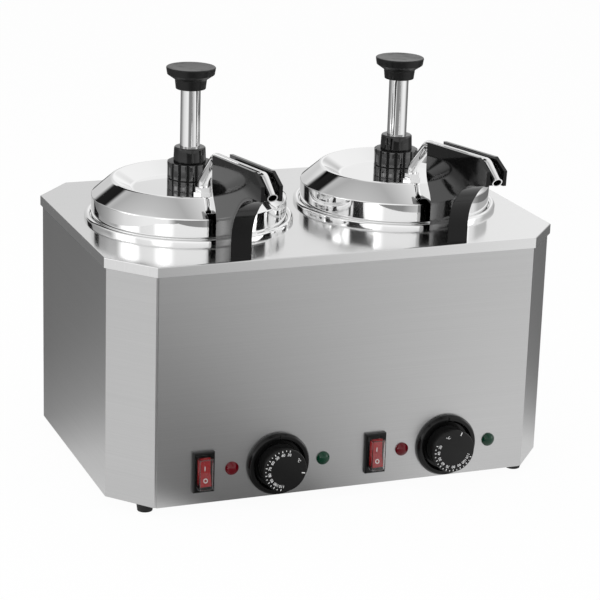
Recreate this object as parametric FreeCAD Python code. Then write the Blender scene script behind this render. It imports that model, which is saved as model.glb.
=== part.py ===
import FreeCAD, Part
import math
import os

V = FreeCAD.Vector
os.makedirs("parts", exist_ok=True)

# All lengths are in millimetres. X runs to the right, Y to the back and Z up.
# Pieces are drawn about the cabinet's middle on the table. The origin is on the table
# under the middle of the whole outline, spouts included, and save() moves each piece there.

# Wells, and the jars that stand in them
well_sheet = 1.0
well_wall = 84.0
well_depth = 182.0
well_corner = 10.0
well_hole_clearance = 0.5
rim_ledge = 10.6
rim_band = 6.0
rim_height = 5.0
rim_radius = well_wall + rim_ledge + rim_band
jar_sheet = 1.0
jar_gap = 4.0
jar_floor_gap = 12.0
jar_rim_clearance = 1.2
jar_corner = 14.0
jar_wall = well_wall - jar_gap
jar_depth = well_depth - jar_floor_gap
jar_rim = rim_radius - rim_band - jar_rim_clearance

# Cabinet round two wells
rim_spacing = 13.8
rim_to_end = 16.9
rim_to_front = 55.9
unit_x = rim_radius + rim_spacing / 2
cabinet_length = 2 * (unit_x + rim_radius + rim_to_end)
cabinet_depth = 2 * (rim_radius + rim_to_front)
corner_cut_x = 37.3
corner_cut_y = 43.3
body_height = 232.5
foot_height = 9.5
sheet = 1.2
top_flange = 9.7
top_overhang = 2.2
top_edge_round = 0.9
lap_width = 15.0
seam = 1.0
tray_lip = 12.0
tray_clearance = 0.2

# Lid
lid_clearance = 0.7
lid_sheet = 1.0
lid_skirt_height = 20.6
lid_shoulder = 19.4
lid_crown_height = 39.8
lid_dish_slope = 19.5
lid_dish_height = 29.0
lid_skirt_round = 2.0
lid_crown_round = 4.0
lid_dish_round = 8.0
lid_hole_clearance = 0.3
lid_skirt = rim_radius - rim_band - lid_clearance
lid_crown = lid_skirt - lid_shoulder
lid_dish = lid_crown - lid_dish_slope

# Pump inside the jar
cylinder_radius = 13.0
cylinder_wall = 1.8
flange_width = 6.0
cylinder_flange_height = 3.0
bead_clearance = 0.3
stop_bead_height = 2.0
stop_gap = 0.3
piston_top = -6.0
piston_height = 14.0
piston_spigot = 6.0
pump_foot_gap = 18.0
valve_height = 20.0
valve_wall = 3.0
valve_socket = 10.0
valve_seat = 2.2
valve_floor = 4.0
valve_inlet = 4.0
spring_wire = 0.8
spring_clearance = 1.4
spring_turns = 9
cylinder_bore = cylinder_radius - cylinder_wall
cylinder_flange = cylinder_radius + flange_width
valve_bottom = jar_depth - pump_foot_gap
cylinder_bottom = valve_bottom - valve_height
valve_radius = cylinder_radius + valve_wall
valve_chamber = cylinder_bore - valve_seat
spring_radius = cylinder_bore - spring_clearance - spring_wire
stop_bead_radius = cylinder_bore - bead_clearance

# Pump above the lid
nut_wall = 8.5
nut_height = 26.5
nut_lower_band = 10.0
nut_groove = 1.2
nut_groove_depth = 1.2
nut_edge = 0.8
flute_count = 16
flute_radius = 2.0
flute_depth = 1.1
collar_overhang = 2.7
collar_taper = 0.7
collar_height = 14.4
collar_spigot = 3.4
collar_round = 1.6
plunger_radius = 9.5
plunger_wall = 1.2
running_gap = 0.05
thread_gap = 0.05
knob_bottom = 126.0
knob_height = 21.0
knob_radius = 23.8
knob_rim = 7.0
knob_under = 22.6
knob_waist = 15.3
knob_foot = 14.3
knob_cone = 5.0
knob_socket = 9.0
knob_dish = 1.0
knob_rim_land = 2.8
nut_radius = cylinder_radius + nut_wall
collar_radius = cylinder_radius + collar_overhang
collar_top_radius = collar_radius - collar_taper
knob_dish_radius = knob_radius - knob_rim_land

# Spout channel, from its rear end to its nose, with two cheeks that stand on the deck
lift_clearance = 1.7
channel_bottom_height = 62.0
channel_end_height = 22.2
channel_top_length = 110.4
channel_top_rise = 11.3
channel_tip_run = 20.5
channel_tip_drop = 8.5
channel_nose_face = 14.0
channel_nose_back = 1.0
channel_width = 20.0
channel_cheek = 3.2
channel_floor = 3.0
channel_floor_run = 1.0
cheek_shoulder_height = 52.0
cheek_foot_height = 32.0
cheek_setback = 14.4
cheek_round = 25.0
pipe_sink = 5.5
heater_gap = 0.4
heater_setback = 5.4
heater_end_gap = 7.0
heater_side_gap = 0.2
channel_rear = lid_skirt + lift_clearance
channel_rear_height = channel_bottom_height + channel_end_height
channel_top_reach = channel_rear + channel_top_length
channel_top_height = channel_rear_height + channel_top_rise
channel_tip_reach = channel_top_reach + channel_tip_run
channel_tip_height = channel_top_height - channel_tip_drop
channel_nose_reach = channel_tip_reach - channel_nose_back
channel_nose_height = channel_tip_height - channel_nose_face
channel_floor_end = channel_top_reach + channel_floor_run
cheek_foot_reach = channel_rear + cheek_setback
heater_start = channel_rear + heater_setback
heater_end = channel_floor_end - heater_end_gap

# Discharge tube, riser and union
pipe_radius = 4.75
pipe_bore = 3.75
riser_inset = 14.0
elbow_height = 12.0
riser_round = 9.0
union_across = 16.0
union_base = 6.5
union_upper_across = 13.0
union_upper = 5.0
pipe_insert = 6.0
pipe_turn_rise = 5.5
pipe_bend = 12.0
pipe_entry_run = 35.0
pipe_out_reach = 1.5
pipe_out_rise = 4.0
riser_reach = lid_dish - riser_inset
pipe_entry_reach = riser_reach + pipe_entry_run
pipe_tip_reach = channel_tip_reach + pipe_out_reach
pipe_tip_height = channel_nose_height + pipe_out_rise

# Arm under the channel
arm_to_edge = 8.0
arm_width = 20.0
arm_sheet = 3.0
arm_bend_height = 34.0
arm_bend = 45.0
arm_rest = 24.0
arm_top_bend = 60.0
arm_end_gap = 2.0
arm_tab = 24.0
arm_fold = 0.4
arm_slot_clearance = 0.3
stud_radius = 2.0
stud_length = 7.6
stud_spacing = 11.0
stud_setback = 13.0
stud_hole_clearance = 0.2
stud_nut_across = 7.0
stud_nut_height = 2.6
arm_reach = cabinet_depth / 2 - arm_to_edge
arm_end_reach = channel_floor_end - arm_end_gap
arm_top_reach = arm_end_reach - arm_rest

# Heaters, insulation, thermostats
band_thickness = 4.0
band_lift = 32.0
band_top = 84.0
sleeve_thickness = 10.0
sleeve_lift = 26.0
sleeve_top = 78.0
thermostat_size = 34.0
thermostat_depth = 26.0
bulb_radius = 3.0
bulb_top = 30.0
bulb_length = 40.0
capillary_radius = 1.0
capillary_rise = 3.0
capillary_round = 4.0
capillary_back = 18.0

# Dials, with their places along the panel measured from each unit's axis
dial_from_unit = {"left": 40.1, "right": -3.0}
bezel_radius = 30.5
bezel_to_bottom = 1.3
bezel_height = 6.0
bezel_shoulder = 3.0
bezel_round_width = 1.6
bezel_ring = 5.1
bezel_slope = 1.8
bezel_floor = 1.6
notch_width = 1.3
notch_depth = 0.8
spindle_radius = 4.0
spindle_length = 14.0
spindle_clearance = 1.6
dial_ring_gap = 2.4
dial_taper = 1.0
dial_gap = 0.5
dial_proud = 21.0
dial_edge = 0.9
control_height = bezel_radius + bezel_to_bottom
bezel_inner = bezel_radius - bezel_ring
bezel_floor_radius = bezel_inner - bezel_slope
bezel_hole = spindle_radius + spindle_clearance
dial_face = bezel_floor_radius - dial_ring_gap
dial_base = dial_face - dial_taper

# Rocker switches and lamps, with their places measured from the dial
switch_offset = -73.8
red_offset = -45.6
green_offset = 45.5
rocker_width = 11.2
rocker_height = 26.0
rocker_side_gap = 0.3
rocker_end_gap = 1.1
rocker_horn = 3.2
rocker_valley = 1.4
rocker_skirt = 1.0
rocker_keel = 6.0
rocker_keel_height = 10.0
rocker_pivot_depth = 2.0
rocker_tilt = 8.0
pin_radius = 1.3
pin_length = 1.3
pin_end_gap = 0.2
pocket_depth = 9.0
switch_side_wall = 2.8
switch_end_wall = 3.9
switch_depth = 24.0
switch_side_flange = 1.6
switch_end_flange = 1.8
switch_proud = 4.2
switch_edge = 0.9
cutout_clearance = 0.25
cover_side_lap = 1.1
cover_end_lap = 1.2
cover_headroom = 4.2
cover_wall = 0.8
cover_edge = 0.7
lamp_radius = 6.5
lamp_flange = 1.5
lamp_rim = 1.0
lamp_dome = 3.6
lamp_depth = 16.0
lamp_nut_across = 14.0
lamp_nut_height = 3.0
pocket_width = rocker_width + 2 * rocker_side_gap
pocket_height = rocker_height + 2 * rocker_end_gap
switch_body_width = pocket_width + 2 * switch_side_wall
switch_body_height = pocket_height + 2 * switch_end_wall
switch_width = switch_body_width + 2 * switch_side_flange
switch_height = switch_body_height + 2 * switch_end_flange
cover_width = pocket_width + 2 * cover_side_lap
cover_height = pocket_height + 2 * cover_end_lap
cover_proud = rocker_horn + cover_headroom
lamp_body = lamp_radius - lamp_flange

# Feet, inlet, terminals, wiring and fasteners
foot_inset_x = 35.0
foot_inset_y = 24.5
foot_top_radius = 8.5
foot_bottom_radius = 7.2
foot_recess = 5.0
foot_recess_depth = 4.0
screw_radius = 2.0
screw_head = 4.0
screw_head_height = 2.2
screw_tail = 5.0
screw_clearance = 0.2
nut_across = 7.0
nut_thickness = 3.0
panel_screw_edge = 8.0
vent_half_length = 34.0
vent_width = 3.0
vent_pitch = 9.0
vent_count = 7
vent_drop = 92.0
inlet_x = 24.0
inlet_height = 40.0
inlet_plate_width = 50.0
inlet_plate_height = 26.0
inlet_plate = 3.0
inlet_body_width = 28.0
inlet_body_height = 20.0
inlet_body_depth = 22.0
inlet_wall = 1.8
inlet_recess = 18.0
inlet_pin_length = 11.0
inlet_pin_width = 2.0
inlet_pin_height = 5.0
inlet_pin_spacing = 7.0
block_width = 70.0
block_depth = 22.0
block_height = 16.0
block_y = 46.0
block_slot = 1.2
block_ways = 6
wire_radius = 1.3
wire_round = 6.0
wire_level = 9.0
foot_x = cabinet_length / 2 - foot_inset_x
foot_y = cabinet_depth / 2 - foot_inset_y

overrun = 2.0
tiny = 0.0001

# Levels, slopes and places that several pieces share
panel_bottom = foot_height
deck = foot_height + body_height
under_deck = deck - sheet
front_face = -(cabinet_depth / 2 - top_overhang)
front_inside = front_face + sheet
lap_inside = front_inside + sheet
control_z = panel_bottom + control_height
well_outer = well_wall + well_sheet
ledge = well_sheet
jar_top = ledge + jar_sheet
channel_slope = channel_top_rise / channel_top_length
bottom_slope = (channel_nose_height - channel_bottom_height) / (channel_nose_reach - channel_rear)
collar_seat = lid_dish_height + nut_height
cylinder_top = collar_seat - collar_spigot
band_outer = well_outer + band_thickness
units = {"left": -unit_x, "right": unit_x}
dial_x = {name: units[name] + dial_from_unit[name] for name in units}


# Height of the tube's centre line in the channel at a reach from the unit's axis
def channel_line(reach):
    return channel_rear_height - pipe_sink + (reach - channel_rear) * channel_slope


# Height of the underside of the channel's floor at a reach
def bottom_line(reach):
    return channel_bottom_height + (reach - channel_rear) * bottom_slope


# How far the whole outline's middle lies in front of the cabinet's
def outline_shift():
    drop = channel_line(channel_top_reach) - pipe_tip_height
    run = pipe_tip_reach - channel_top_reach
    tip = pipe_tip_reach + pipe_radius * drop / math.hypot(run, drop)
    back = inlet_plate - front_face
    return (tip - back) / 2


def save(name, *shapes):
    shape = shapes[0] if len(shapes) == 1 else Part.makeCompound(list(shapes))
    moved = shape.copy()
    moved.translate(V(0, outline_shift(), 0))
    moved.exportStep("parts/" + name + ".step")
    print(name, len(moved.Solids), round(moved.Volume))


def unit(vector):
    return vector * (1 / vector.Length)


def line(start, end):
    return Part.makeLine(start, end)


# An arc from one point to another, tangent to the two lines that meet at the corner
def corner_arc(start, corner, end):
    middle = (start + end) * (1 / 2)
    half_chord = (end - start).Length / 2
    half_turn = math.acos(min(1, half_chord / (corner - start).Length))
    bulge = half_chord * math.tan(half_turn / 2)
    through = middle + unit(corner - middle) * bulge
    return Part.Arc(start, through, end).toShape()


# Lines through the points, with each inner corner rounded to its radius
def path_edges(points, radii):
    edges = []
    start = points[0]
    for before, corner, after, radius in zip(points, points[1:], points[2:], radii):
        back = unit(before - corner)
        ahead = unit(after - corner)
        turn = math.pi - back.getAngle(ahead)
        setback = radius * math.tan(turn / 2)
        if setback < tiny:
            edges.append(line(start, corner))
            start = corner
            continue
        first = corner + back * setback
        last = corner + ahead * setback
        if (first - start).Length > tiny:
            edges.append(line(start, first))
        edges.append(corner_arc(first, corner, last))
        start = last
    edges.append(line(start, points[-1]))
    return edges


# The same points moved sideways by a distance, in the plane square to the axis
def beside(points, axis, distance):
    headings = [unit(end - start) for start, end in zip(points, points[1:])]
    sides = [axis.cross(heading) for heading in headings]
    moved = [points[0] + sides[0] * distance]
    for corner, first, second in zip(points[1:], sides, sides[1:]):
        moved.append(corner + (first + second) * (distance / (1 + first.dot(second))))
    moved.append(points[-1] + sides[-1] * distance)
    return moved


# The cut face of a folded sheet: a path with bend radii, and its copy one thickness aside
def sheet_face(points, radii, axis, thickness):
    headings = [unit(end - start) for start, end in zip(points, points[1:])]
    side = 1 if thickness > 0 else -1
    other_radii = []
    for radius, first, second in zip(radii, headings, headings[1:]):
        turn = axis.dot(first.cross(second)) * side
        inner = max(radius - abs(thickness), 0)
        other_radii.append(inner if turn > 0 else radius + abs(thickness))
    other = beside(points, axis, thickness)
    edges = path_edges(points, radii)
    edges.append(line(points[-1], other[-1]))
    edges += path_edges(other[::-1], other_radii[::-1])
    edges.append(line(other[0], points[0]))
    return Part.Face(Part.Wire(edges))


def polygon_face(points):
    return Part.Face(Part.makePolygon(points + points[:1]))


def prism(outline, low, high):
    face = polygon_face([V(x, y, low) for x, y in outline])
    return face.extrude(V(0, 0, high - low))


# A solid of revolution about the vertical axis, from points of radius and height
def turned(profile):
    face = polygon_face([V(radius, 0, height) for radius, height in profile])
    return face.revolve(V(0, 0, 0), V(0, 0, 1), 360)


# A thin turned sheet from its visible outline of radius and height
def turned_sheet(profile, radii, thickness):
    points = [V(radius, 0, height) for radius, height in profile]
    face = sheet_face(points, radii, V(0, -1, 0), thickness)
    return face.revolve(V(0, 0, 0), V(0, 0, 1), 360)


# A solid turned about a line along Y through a point of the front panel, height towards the viewer
def turned_front(profile, x, z):
    face = polygon_face([V(x + radius, front_face - proud, z) for radius, proud in profile])
    return face.revolve(V(x, 0, z), V(0, 1, 0), 360)


def cylinder(radius, x, y, low, high):
    return Part.makeCylinder(radius, high - low, V(x, y, low))


def cylinder_y(radius, x, z, low, high):
    return Part.makeCylinder(radius, high - low, V(x, low, z), V(0, 1, 0))


def cylinder_x(radius, y, z, low, high):
    return Part.makeCylinder(radius, high - low, V(low, y, z), V(1, 0, 0))


def box(x_low, x_high, y_low, y_high, z_low, z_high):
    return Part.makeBox(x_high - x_low, y_high - y_low, z_high - z_low, V(x_low, y_low, z_low))


# A block centred on a point of a panel, from one depth to another
def upright_block(x, z, width, height, near, far):
    return box(x - width / 2, x + width / 2, near, far, z - height / 2, z + height / 2)


def control_block(x, width, height, near, far):
    return upright_block(x, control_z, width, height, near, far)


def hexagon(across, x, y, low, high):
    corner = across / math.sqrt(3)
    outline = []
    for step in range(6):
        angle = math.radians(60 * step)
        outline.append((x + corner * math.cos(angle), y + corner * math.sin(angle)))
    return prism(outline, low, high)


def hexagon_y(across, x, z, low, high):
    upright = hexagon(across, 0, 0, 0, high - low)
    upright.rotate(V(0, 0, 0), V(1, 0, 0), -90)
    upright.translate(V(x, low, z))
    return upright


# A round bar along a route of straight runs and tangent arcs
def bar(points, bend, radius):
    path = Part.Wire(path_edges(points, [bend] * (len(points) - 2)))
    heading = points[1] - points[0]
    ring = Part.Wire(Part.makeCircle(radius, points[0], heading))
    return path.makePipeShell([ring], True, False)


def tube(points, bend, radius, bore):
    return bar(points, bend, radius).cut(bar(points, bend, bore))


# The cabinet's eight corners, moved in from the edge of the top plate
def octagon(inset):
    half_x = cabinet_length / 2 - inset
    half_y = cabinet_depth / 2 - inset
    slant = math.hypot(corner_cut_x, corner_cut_y)
    cut_x = corner_cut_x + inset * (slant - corner_cut_x - corner_cut_y) / corner_cut_y
    cut_y = corner_cut_y + inset * (slant - corner_cut_x - corner_cut_y) / corner_cut_x
    quarter = [(half_x, half_y - cut_y), (half_x - cut_x, half_y)]
    outline = quarter + [(-x, y) for x, y in quarter[::-1]]
    outline += [(-x, -y) for x, y in quarter]
    outline += [(x, -y) for x, y in quarter[::-1]]
    return outline


def make_top_plate():
    plate = prism(octagon(0), deck - top_flange, deck)
    rim = [edge for edge in plate.Edges if all(abs(v.Z - deck) < tiny for v in edge.Vertexes)]
    plate = plate.makeFillet(top_edge_round, rim)
    plate = plate.cut(prism(octagon(sheet), deck - top_flange - overrun, under_deck))
    for x in units.values():
        hole = well_outer + well_hole_clearance
        plate = plate.cut(cylinder(hole, x, 0, under_deck - overrun, deck + overrun))
        half = arm_width / 2 + arm_slot_clearance
        near = -(arm_reach - arm_slot_clearance)
        far = -(arm_reach + arm_sheet + arm_slot_clearance)
        plate = plate.cut(box(x - half, x + half, far, near, under_deck - overrun, deck + overrun))
    return plate


# One folded sheet: lap behind the front panel, chamfer, side, chamfer, lap behind the back panel
def make_side_shell(side):
    corners = octagon(top_overhang)
    side_corner = corners[0]
    front_corner = corners[1]
    run = side_corner[0] - front_corner[0]
    rise = front_corner[1] - side_corner[1]
    lap_y = -front_inside
    seam_x = front_corner[0] + (front_corner[1] - lap_y) * run / rise
    half = [(front_corner[0] - lap_width, lap_y), (seam_x, lap_y), side_corner]
    outline = half + [(x, -y) for x, y in half[::-1]]
    points = [V(side * x, side * y, panel_bottom) for x, y in outline]
    face = sheet_face(points, [sheet] * (len(points) - 2), V(0, 0, 1), -sheet)
    shell = face.extrude(V(0, 0, under_deck - panel_bottom))
    for x, z in back_screw_places():
        shell = shell.cut(cylinder_y(screw_radius, x, z, -lap_inside - overrun, -front_face + overrun))
    return shell


def panel_half_width():
    return octagon(top_overhang)[1][0] - seam


def switch_x(name):
    return dial_x[name] + switch_offset


def make_front_panel():
    half = panel_half_width()
    panel = box(-half, half, front_face, front_inside, panel_bottom, under_deck)
    back = front_inside + overrun
    front = front_face - overrun
    for name in dial_x:
        x = dial_x[name]
        panel = panel.cut(cylinder_y(bezel_hole, x, control_z, front, back))
        for offset in (red_offset, green_offset):
            panel = panel.cut(cylinder_y(lamp_body + cutout_clearance, x + offset, control_z, front, back))
        width = switch_body_width + 2 * cutout_clearance
        height = switch_body_height + 2 * cutout_clearance
        panel = panel.cut(control_block(switch_x(name), width, height, front, back))
    return panel


def back_screw_places():
    x = panel_half_width() - panel_screw_edge
    low = panel_bottom + tray_lip + panel_screw_edge
    high = deck - top_flange - panel_screw_edge
    return [(side * x, z) for side in (-1, 1) for z in (low, (low + high) / 2, high)]


def make_back_panel():
    half = panel_half_width()
    panel = box(-half, half, -front_inside, -front_face, panel_bottom, under_deck)
    back = -front_face + overrun
    front = -front_inside - overrun
    for side in (-1, 1):
        for row in range(vent_count):
            z = deck - vent_drop + (row - (vent_count - 1) / 2) * vent_pitch
            x = side * unit_x
            low = z - vent_width / 2
            slot = box(x - vent_half_length, x + vent_half_length, front, back, low, low + vent_width)
            panel = panel.cut(slot)
    width = inlet_body_width + 2 * cutout_clearance
    height = inlet_body_height + 2 * cutout_clearance
    panel = panel.cut(upright_block(inlet_x, panel_bottom + inlet_height, width, height, front, back))
    for x, z in back_screw_places():
        panel = panel.cut(cylinder_y(screw_radius, x, z, front, back))
    return panel


def tray_shape(inset, low, high):
    shape = prism(octagon(top_overhang + sheet + inset), low, high)
    half_y = -lap_inside - inset
    half_x = cabinet_length
    return shape.common(box(-half_x, half_x, -half_y, half_y, low, high))


def foot_places():
    return [(x, y) for x in (-foot_x, foot_x) for y in (-foot_y, foot_y)]


def make_bottom_plate():
    tray = tray_shape(tray_clearance, panel_bottom, panel_bottom + tray_lip)
    floor = panel_bottom + sheet
    tray = tray.cut(tray_shape(tray_clearance + sheet, floor, panel_bottom + tray_lip + overrun))
    for x, y in foot_places():
        hole = screw_radius + screw_clearance
        tray = tray.cut(cylinder(hole, x, y, panel_bottom - overrun, floor + overrun))
    for side in (-1, 1):
        for row in range(vent_count):
            y = (row - (vent_count - 1) / 2) * vent_pitch - block_y - vent_width / 2
            x = side * unit_x
            low = panel_bottom - overrun
            slot = box(x - vent_half_length, x + vent_half_length, y, y + vent_width, low, floor + overrun)
            tray = tray.cut(slot)
    return tray


def make_feet():
    feet = []
    for x, y in foot_places():
        foot = turned([(0, 0), (foot_bottom_radius, 0), (foot_top_radius, foot_height), (0, foot_height)])
        foot = foot.cut(cylinder(foot_recess, 0, 0, -overrun, foot_recess_depth))
        foot = foot.cut(cylinder(screw_radius + screw_clearance, 0, 0, 0, foot_height + overrun))
        foot.translate(V(x, y, 0))
        feet.append(foot)
    return feet


def make_foot_screws():
    screws = []
    floor = panel_bottom + sheet
    for x, y in foot_places():
        seat = foot_recess_depth
        screw = cylinder(screw_head, x, y, seat - screw_head_height, seat)
        screw = screw.fuse(cylinder(screw_radius, x, y, seat - tiny, floor + screw_tail))
        screw = screw.fuse(hexagon(nut_across, x, y, floor, floor + nut_thickness))
        screws.append(screw.removeSplitter())
    return screws


def make_well():
    edge = rim_band / 2
    inner = rim_radius - rim_band
    profile = [(rim_radius, 0), (rim_radius, rim_height), (inner, rim_height), (inner, ledge)]
    profile += [(well_wall, ledge), (well_wall, -well_depth), (0, -well_depth)]
    return turned_sheet(profile, [edge, edge, 0, well_sheet, well_corner], well_sheet)


def make_jar():
    inner = jar_wall - jar_sheet
    floor = jar_sheet - jar_depth
    profile = [(jar_rim, jar_top), (inner, jar_top), (inner, floor), (0, floor)]
    return turned_sheet(profile, [jar_sheet, jar_corner], jar_sheet)


def make_lid():
    top = jar_top + lid_skirt_height
    profile = [(lid_skirt, jar_top), (lid_skirt, top), (lid_crown, lid_crown_height)]
    profile += [(lid_dish, lid_dish_height), (cylinder_radius + lid_hole_clearance, lid_dish_height)]
    lid = turned_sheet(profile, [lid_skirt_round, lid_crown_round, lid_dish_round], lid_sheet)
    hole = pipe_radius + lid_hole_clearance
    return lid.cut(cylinder(hole, 0, -riser_reach, 0, lid_crown_height))


def flutes(radius, count, low, high):
    cutters = []
    centre = radius + flute_radius - flute_depth
    for step in range(count):
        angle = 2 * math.pi * step / count
        cutters.append(cylinder(flute_radius, centre * math.cos(angle), centre * math.sin(angle), low, high))
    return Part.makeCompound(cutters)


def make_pump_nut():
    low = lid_dish_height
    high = low + nut_height
    groove_low = low + nut_lower_band
    groove_high = groove_low + nut_groove
    bore = cylinder_radius + thread_gap
    waist = nut_radius - nut_groove_depth
    profile = [(bore, low), (nut_radius - nut_edge, low), (nut_radius, low + nut_edge)]
    profile += [(nut_radius, groove_low), (waist, groove_low), (waist, groove_high)]
    profile += [(nut_radius, groove_high), (nut_radius, high - nut_edge)]
    profile += [(nut_radius - nut_edge, high), (bore, high)]
    nut = turned(profile)
    return nut.cut(flutes(nut_radius, flute_count, low - overrun, high + overrun))


def make_pump_collar():
    bore = plunger_radius + running_gap
    low = cylinder_top
    high = collar_seat + collar_height
    shoulder = high - collar_round
    profile = [(bore, low), (cylinder_radius, low), (cylinder_radius, collar_seat)]
    profile += [(collar_radius, collar_seat), (collar_top_radius, shoulder)]
    profile += [(collar_top_radius - collar_round, high), (bore, high)]
    return turned(profile)


def make_pump_cylinder():
    flange_top = lid_dish_height - lid_sheet
    flange_low = flange_top - cylinder_flange_height
    low = -cylinder_bottom
    profile = [(cylinder_bore, low), (cylinder_radius, low), (cylinder_radius, flange_low)]
    profile += [(cylinder_flange, flange_low), (cylinder_flange, flange_top), (cylinder_radius, flange_top)]
    profile += [(cylinder_radius, cylinder_top), (cylinder_bore, cylinder_top)]
    return turned(profile)


# The valve body under the cylinder, with the elbow and the riser soldered to it
def make_foot_valve():
    low = -valve_bottom
    seat = -cylinder_bottom
    outer = cylinder_radius + thread_gap
    floor = low + valve_floor
    profile = [(valve_inlet, low), (valve_radius, low), (valve_radius, seat + valve_socket)]
    profile += [(outer, seat + valve_socket), (outer, seat), (valve_chamber, seat), (valve_chamber, floor)]
    profile += [(valve_inlet, floor)]
    body = turned(profile)
    height = low + elbow_height
    top = lid_dish_height + pipe_insert
    route = [V(0, -valve_chamber, height), V(0, -riser_reach, height), V(0, -riser_reach, top)]
    port_end = -(valve_radius + tiny)
    port = Part.makeCylinder(pipe_bore, valve_radius, V(0, port_end, height), V(0, 1, 0))
    body = body.fuse(bar(route, riser_round, pipe_radius))
    return body.cut(bar(route, riser_round, pipe_bore)).cut(port)


def make_tube_union():
    base = lid_dish_height
    middle = base + union_base
    nut = hexagon(union_across, 0, -riser_reach, base, middle)
    upper = hexagon(union_upper_across, 0, -riser_reach, middle, middle + union_upper)
    union = nut.fuse(upper).removeSplitter()
    bore = pipe_radius + thread_gap
    return union.cut(cylinder(bore, 0, -riser_reach, base - overrun, middle + union_upper + overrun))


def make_discharge_tube():
    start = lid_dish_height + pipe_insert
    turn = lid_dish_height + union_base + union_upper + pipe_turn_rise
    reaches = [riser_reach, riser_reach, pipe_entry_reach, channel_top_reach, pipe_tip_reach]
    heights = [start, turn, channel_line(pipe_entry_reach), channel_line(channel_top_reach), pipe_tip_height]
    route = [V(0, -reach, height) for reach, height in zip(reaches, heights)]
    return tube(route, pipe_bend, pipe_radius, pipe_bore)


def make_plunger_tube():
    bottom = piston_top
    top = knob_bottom + knob_socket
    inner = plunger_radius - plunger_wall
    bead_top = cylinder_top - stop_gap
    bead_low = bead_top - stop_bead_height
    profile = [(inner, bottom), (plunger_radius, bottom), (plunger_radius, bead_low)]
    profile += [(stop_bead_radius, bead_low), (stop_bead_radius, bead_top), (plunger_radius, bead_top)]
    profile += [(plunger_radius, top), (inner, top)]
    return turned(profile)


def make_plunger_knob():
    low = knob_bottom
    top = low + knob_height
    rim_low = top - knob_rim
    socket = low + knob_socket
    profile = [(0, socket), (plunger_radius, socket), (plunger_radius, low), (knob_foot, low)]
    profile += [(knob_waist, rim_low - knob_cone), (knob_under, rim_low), (knob_radius, top)]
    profile += [(knob_dish_radius, top), (0, top - knob_dish)]
    return turned(profile)


def make_piston_seal():
    top = piston_top
    low = top - piston_height
    outer = cylinder_bore - running_gap
    inner = plunger_radius - plunger_wall
    spigot = top + piston_spigot
    profile = [(0, low), (outer, low), (outer, top), (inner, top), (inner, spigot), (0, spigot)]
    return turned(profile)


# One unbroken wire: each quarter turn is two arcs that share a tangent where they meet
def make_plunger_spring():
    low = -cylinder_bottom + spring_wire
    high = piston_top - piston_height - spring_wire
    climb = (high - low) / spring_turns / (2 * math.pi)
    steps = 4 * spring_turns
    places = []
    headings = []
    for step in range(steps + 1):
        angle = math.pi / 2 * step
        across = spring_radius * math.cos(angle)
        along = spring_radius * math.sin(angle)
        places.append(V(across, along, low + climb * angle))
        headings.append(unit(V(-along, across, climb)))
    edges = []
    for start, end, leave, arrive in zip(places, places[1:], headings, headings[1:]):
        gap = end - start
        spread = 1 - leave.dot(arrive)
        along = gap.dot(leave + arrive)
        reach = (math.sqrt(along ** 2 + 2 * spread * gap.dot(gap)) - along) / (2 * spread)
        first = start + leave * reach
        second = end - arrive * reach
        middle = (first + second) * (1 / 2)
        edges.append(corner_arc(start, first, middle))
        edges.append(corner_arc(middle, second, end))
    ring = Part.Wire(Part.makeCircle(spring_wire, places[0], headings[0]))
    spring = Part.Wire(edges).makePipeShell([ring], True, False)
    print("least gap between turns", round(2 * math.pi * climb - 2 * spring_wire, 2))
    return spring


# The arm's rear face, from a level up to the arm's end under the nose
def arm_rise(low):
    reaches = [arm_reach, arm_reach, arm_top_reach, arm_end_reach]
    heights = [low, arm_bend_height, bottom_line(arm_top_reach), bottom_line(arm_end_reach)]
    return list(zip(reaches, heights))


# The channel's side view: up the arm to the nose, back along the top and down to the deck
def channel_side(across):
    outline = arm_rise(0)
    outline += [(channel_nose_reach, channel_nose_height), (channel_tip_reach, channel_tip_height)]
    outline += [(channel_top_reach, channel_top_height), (channel_rear, channel_rear_height)]
    outline += [(channel_rear, cheek_shoulder_height), (cheek_foot_reach, cheek_foot_height)]
    outline += [(cheek_foot_reach, 0)]
    points = [V(across, -reach, height) for reach, height in outline]
    radii = [arm_bend, arm_top_bend, 0, 0, 0, 0, 0, cheek_round, cheek_round]
    edges = path_edges(points, radii)
    edges.append(line(points[-1], points[0]))
    return Part.Face(Part.Wire(edges))


def crosswise(outline, low, high):
    face = polygon_face([V(low, -reach, height) for reach, height in outline])
    return face.extrude(V(high - low, 0, 0))


def make_spout_channel():
    half = channel_width / 2
    inner = half - channel_cheek
    body = channel_side(-half).extrude(V(channel_width, 0, 0))
    far = channel_tip_reach + overrun
    near = channel_rear - overrun
    high = channel_top_height + overrun
    end_floor = bottom_line(channel_floor_end) + channel_floor
    low = channel_bottom_height
    groove = [(near, bottom_line(near) + channel_floor), (channel_floor_end, end_floor)]
    groove += [(channel_floor_end, low), (far, low), (far, high), (near, high)]
    under = [(near, -overrun), (near, bottom_line(near))]
    under += [(arm_end_reach, bottom_line(arm_end_reach)), (arm_end_reach, -overrun)]
    return body.cut(crosswise(groove, -inner, inner)).cut(crosswise(under, -inner, inner))


def make_spout_heater():
    half = channel_width / 2 - channel_cheek - heater_side_gap
    top = -pipe_radius - heater_gap
    outline = [(heater_start, bottom_line(heater_start) + channel_floor)]
    outline += [(heater_end, bottom_line(heater_end) + channel_floor)]
    outline += [(heater_end, channel_line(heater_end) + top)]
    outline += [(heater_start, channel_line(heater_start) + top)]
    return crosswise(outline, -half, half)


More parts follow.
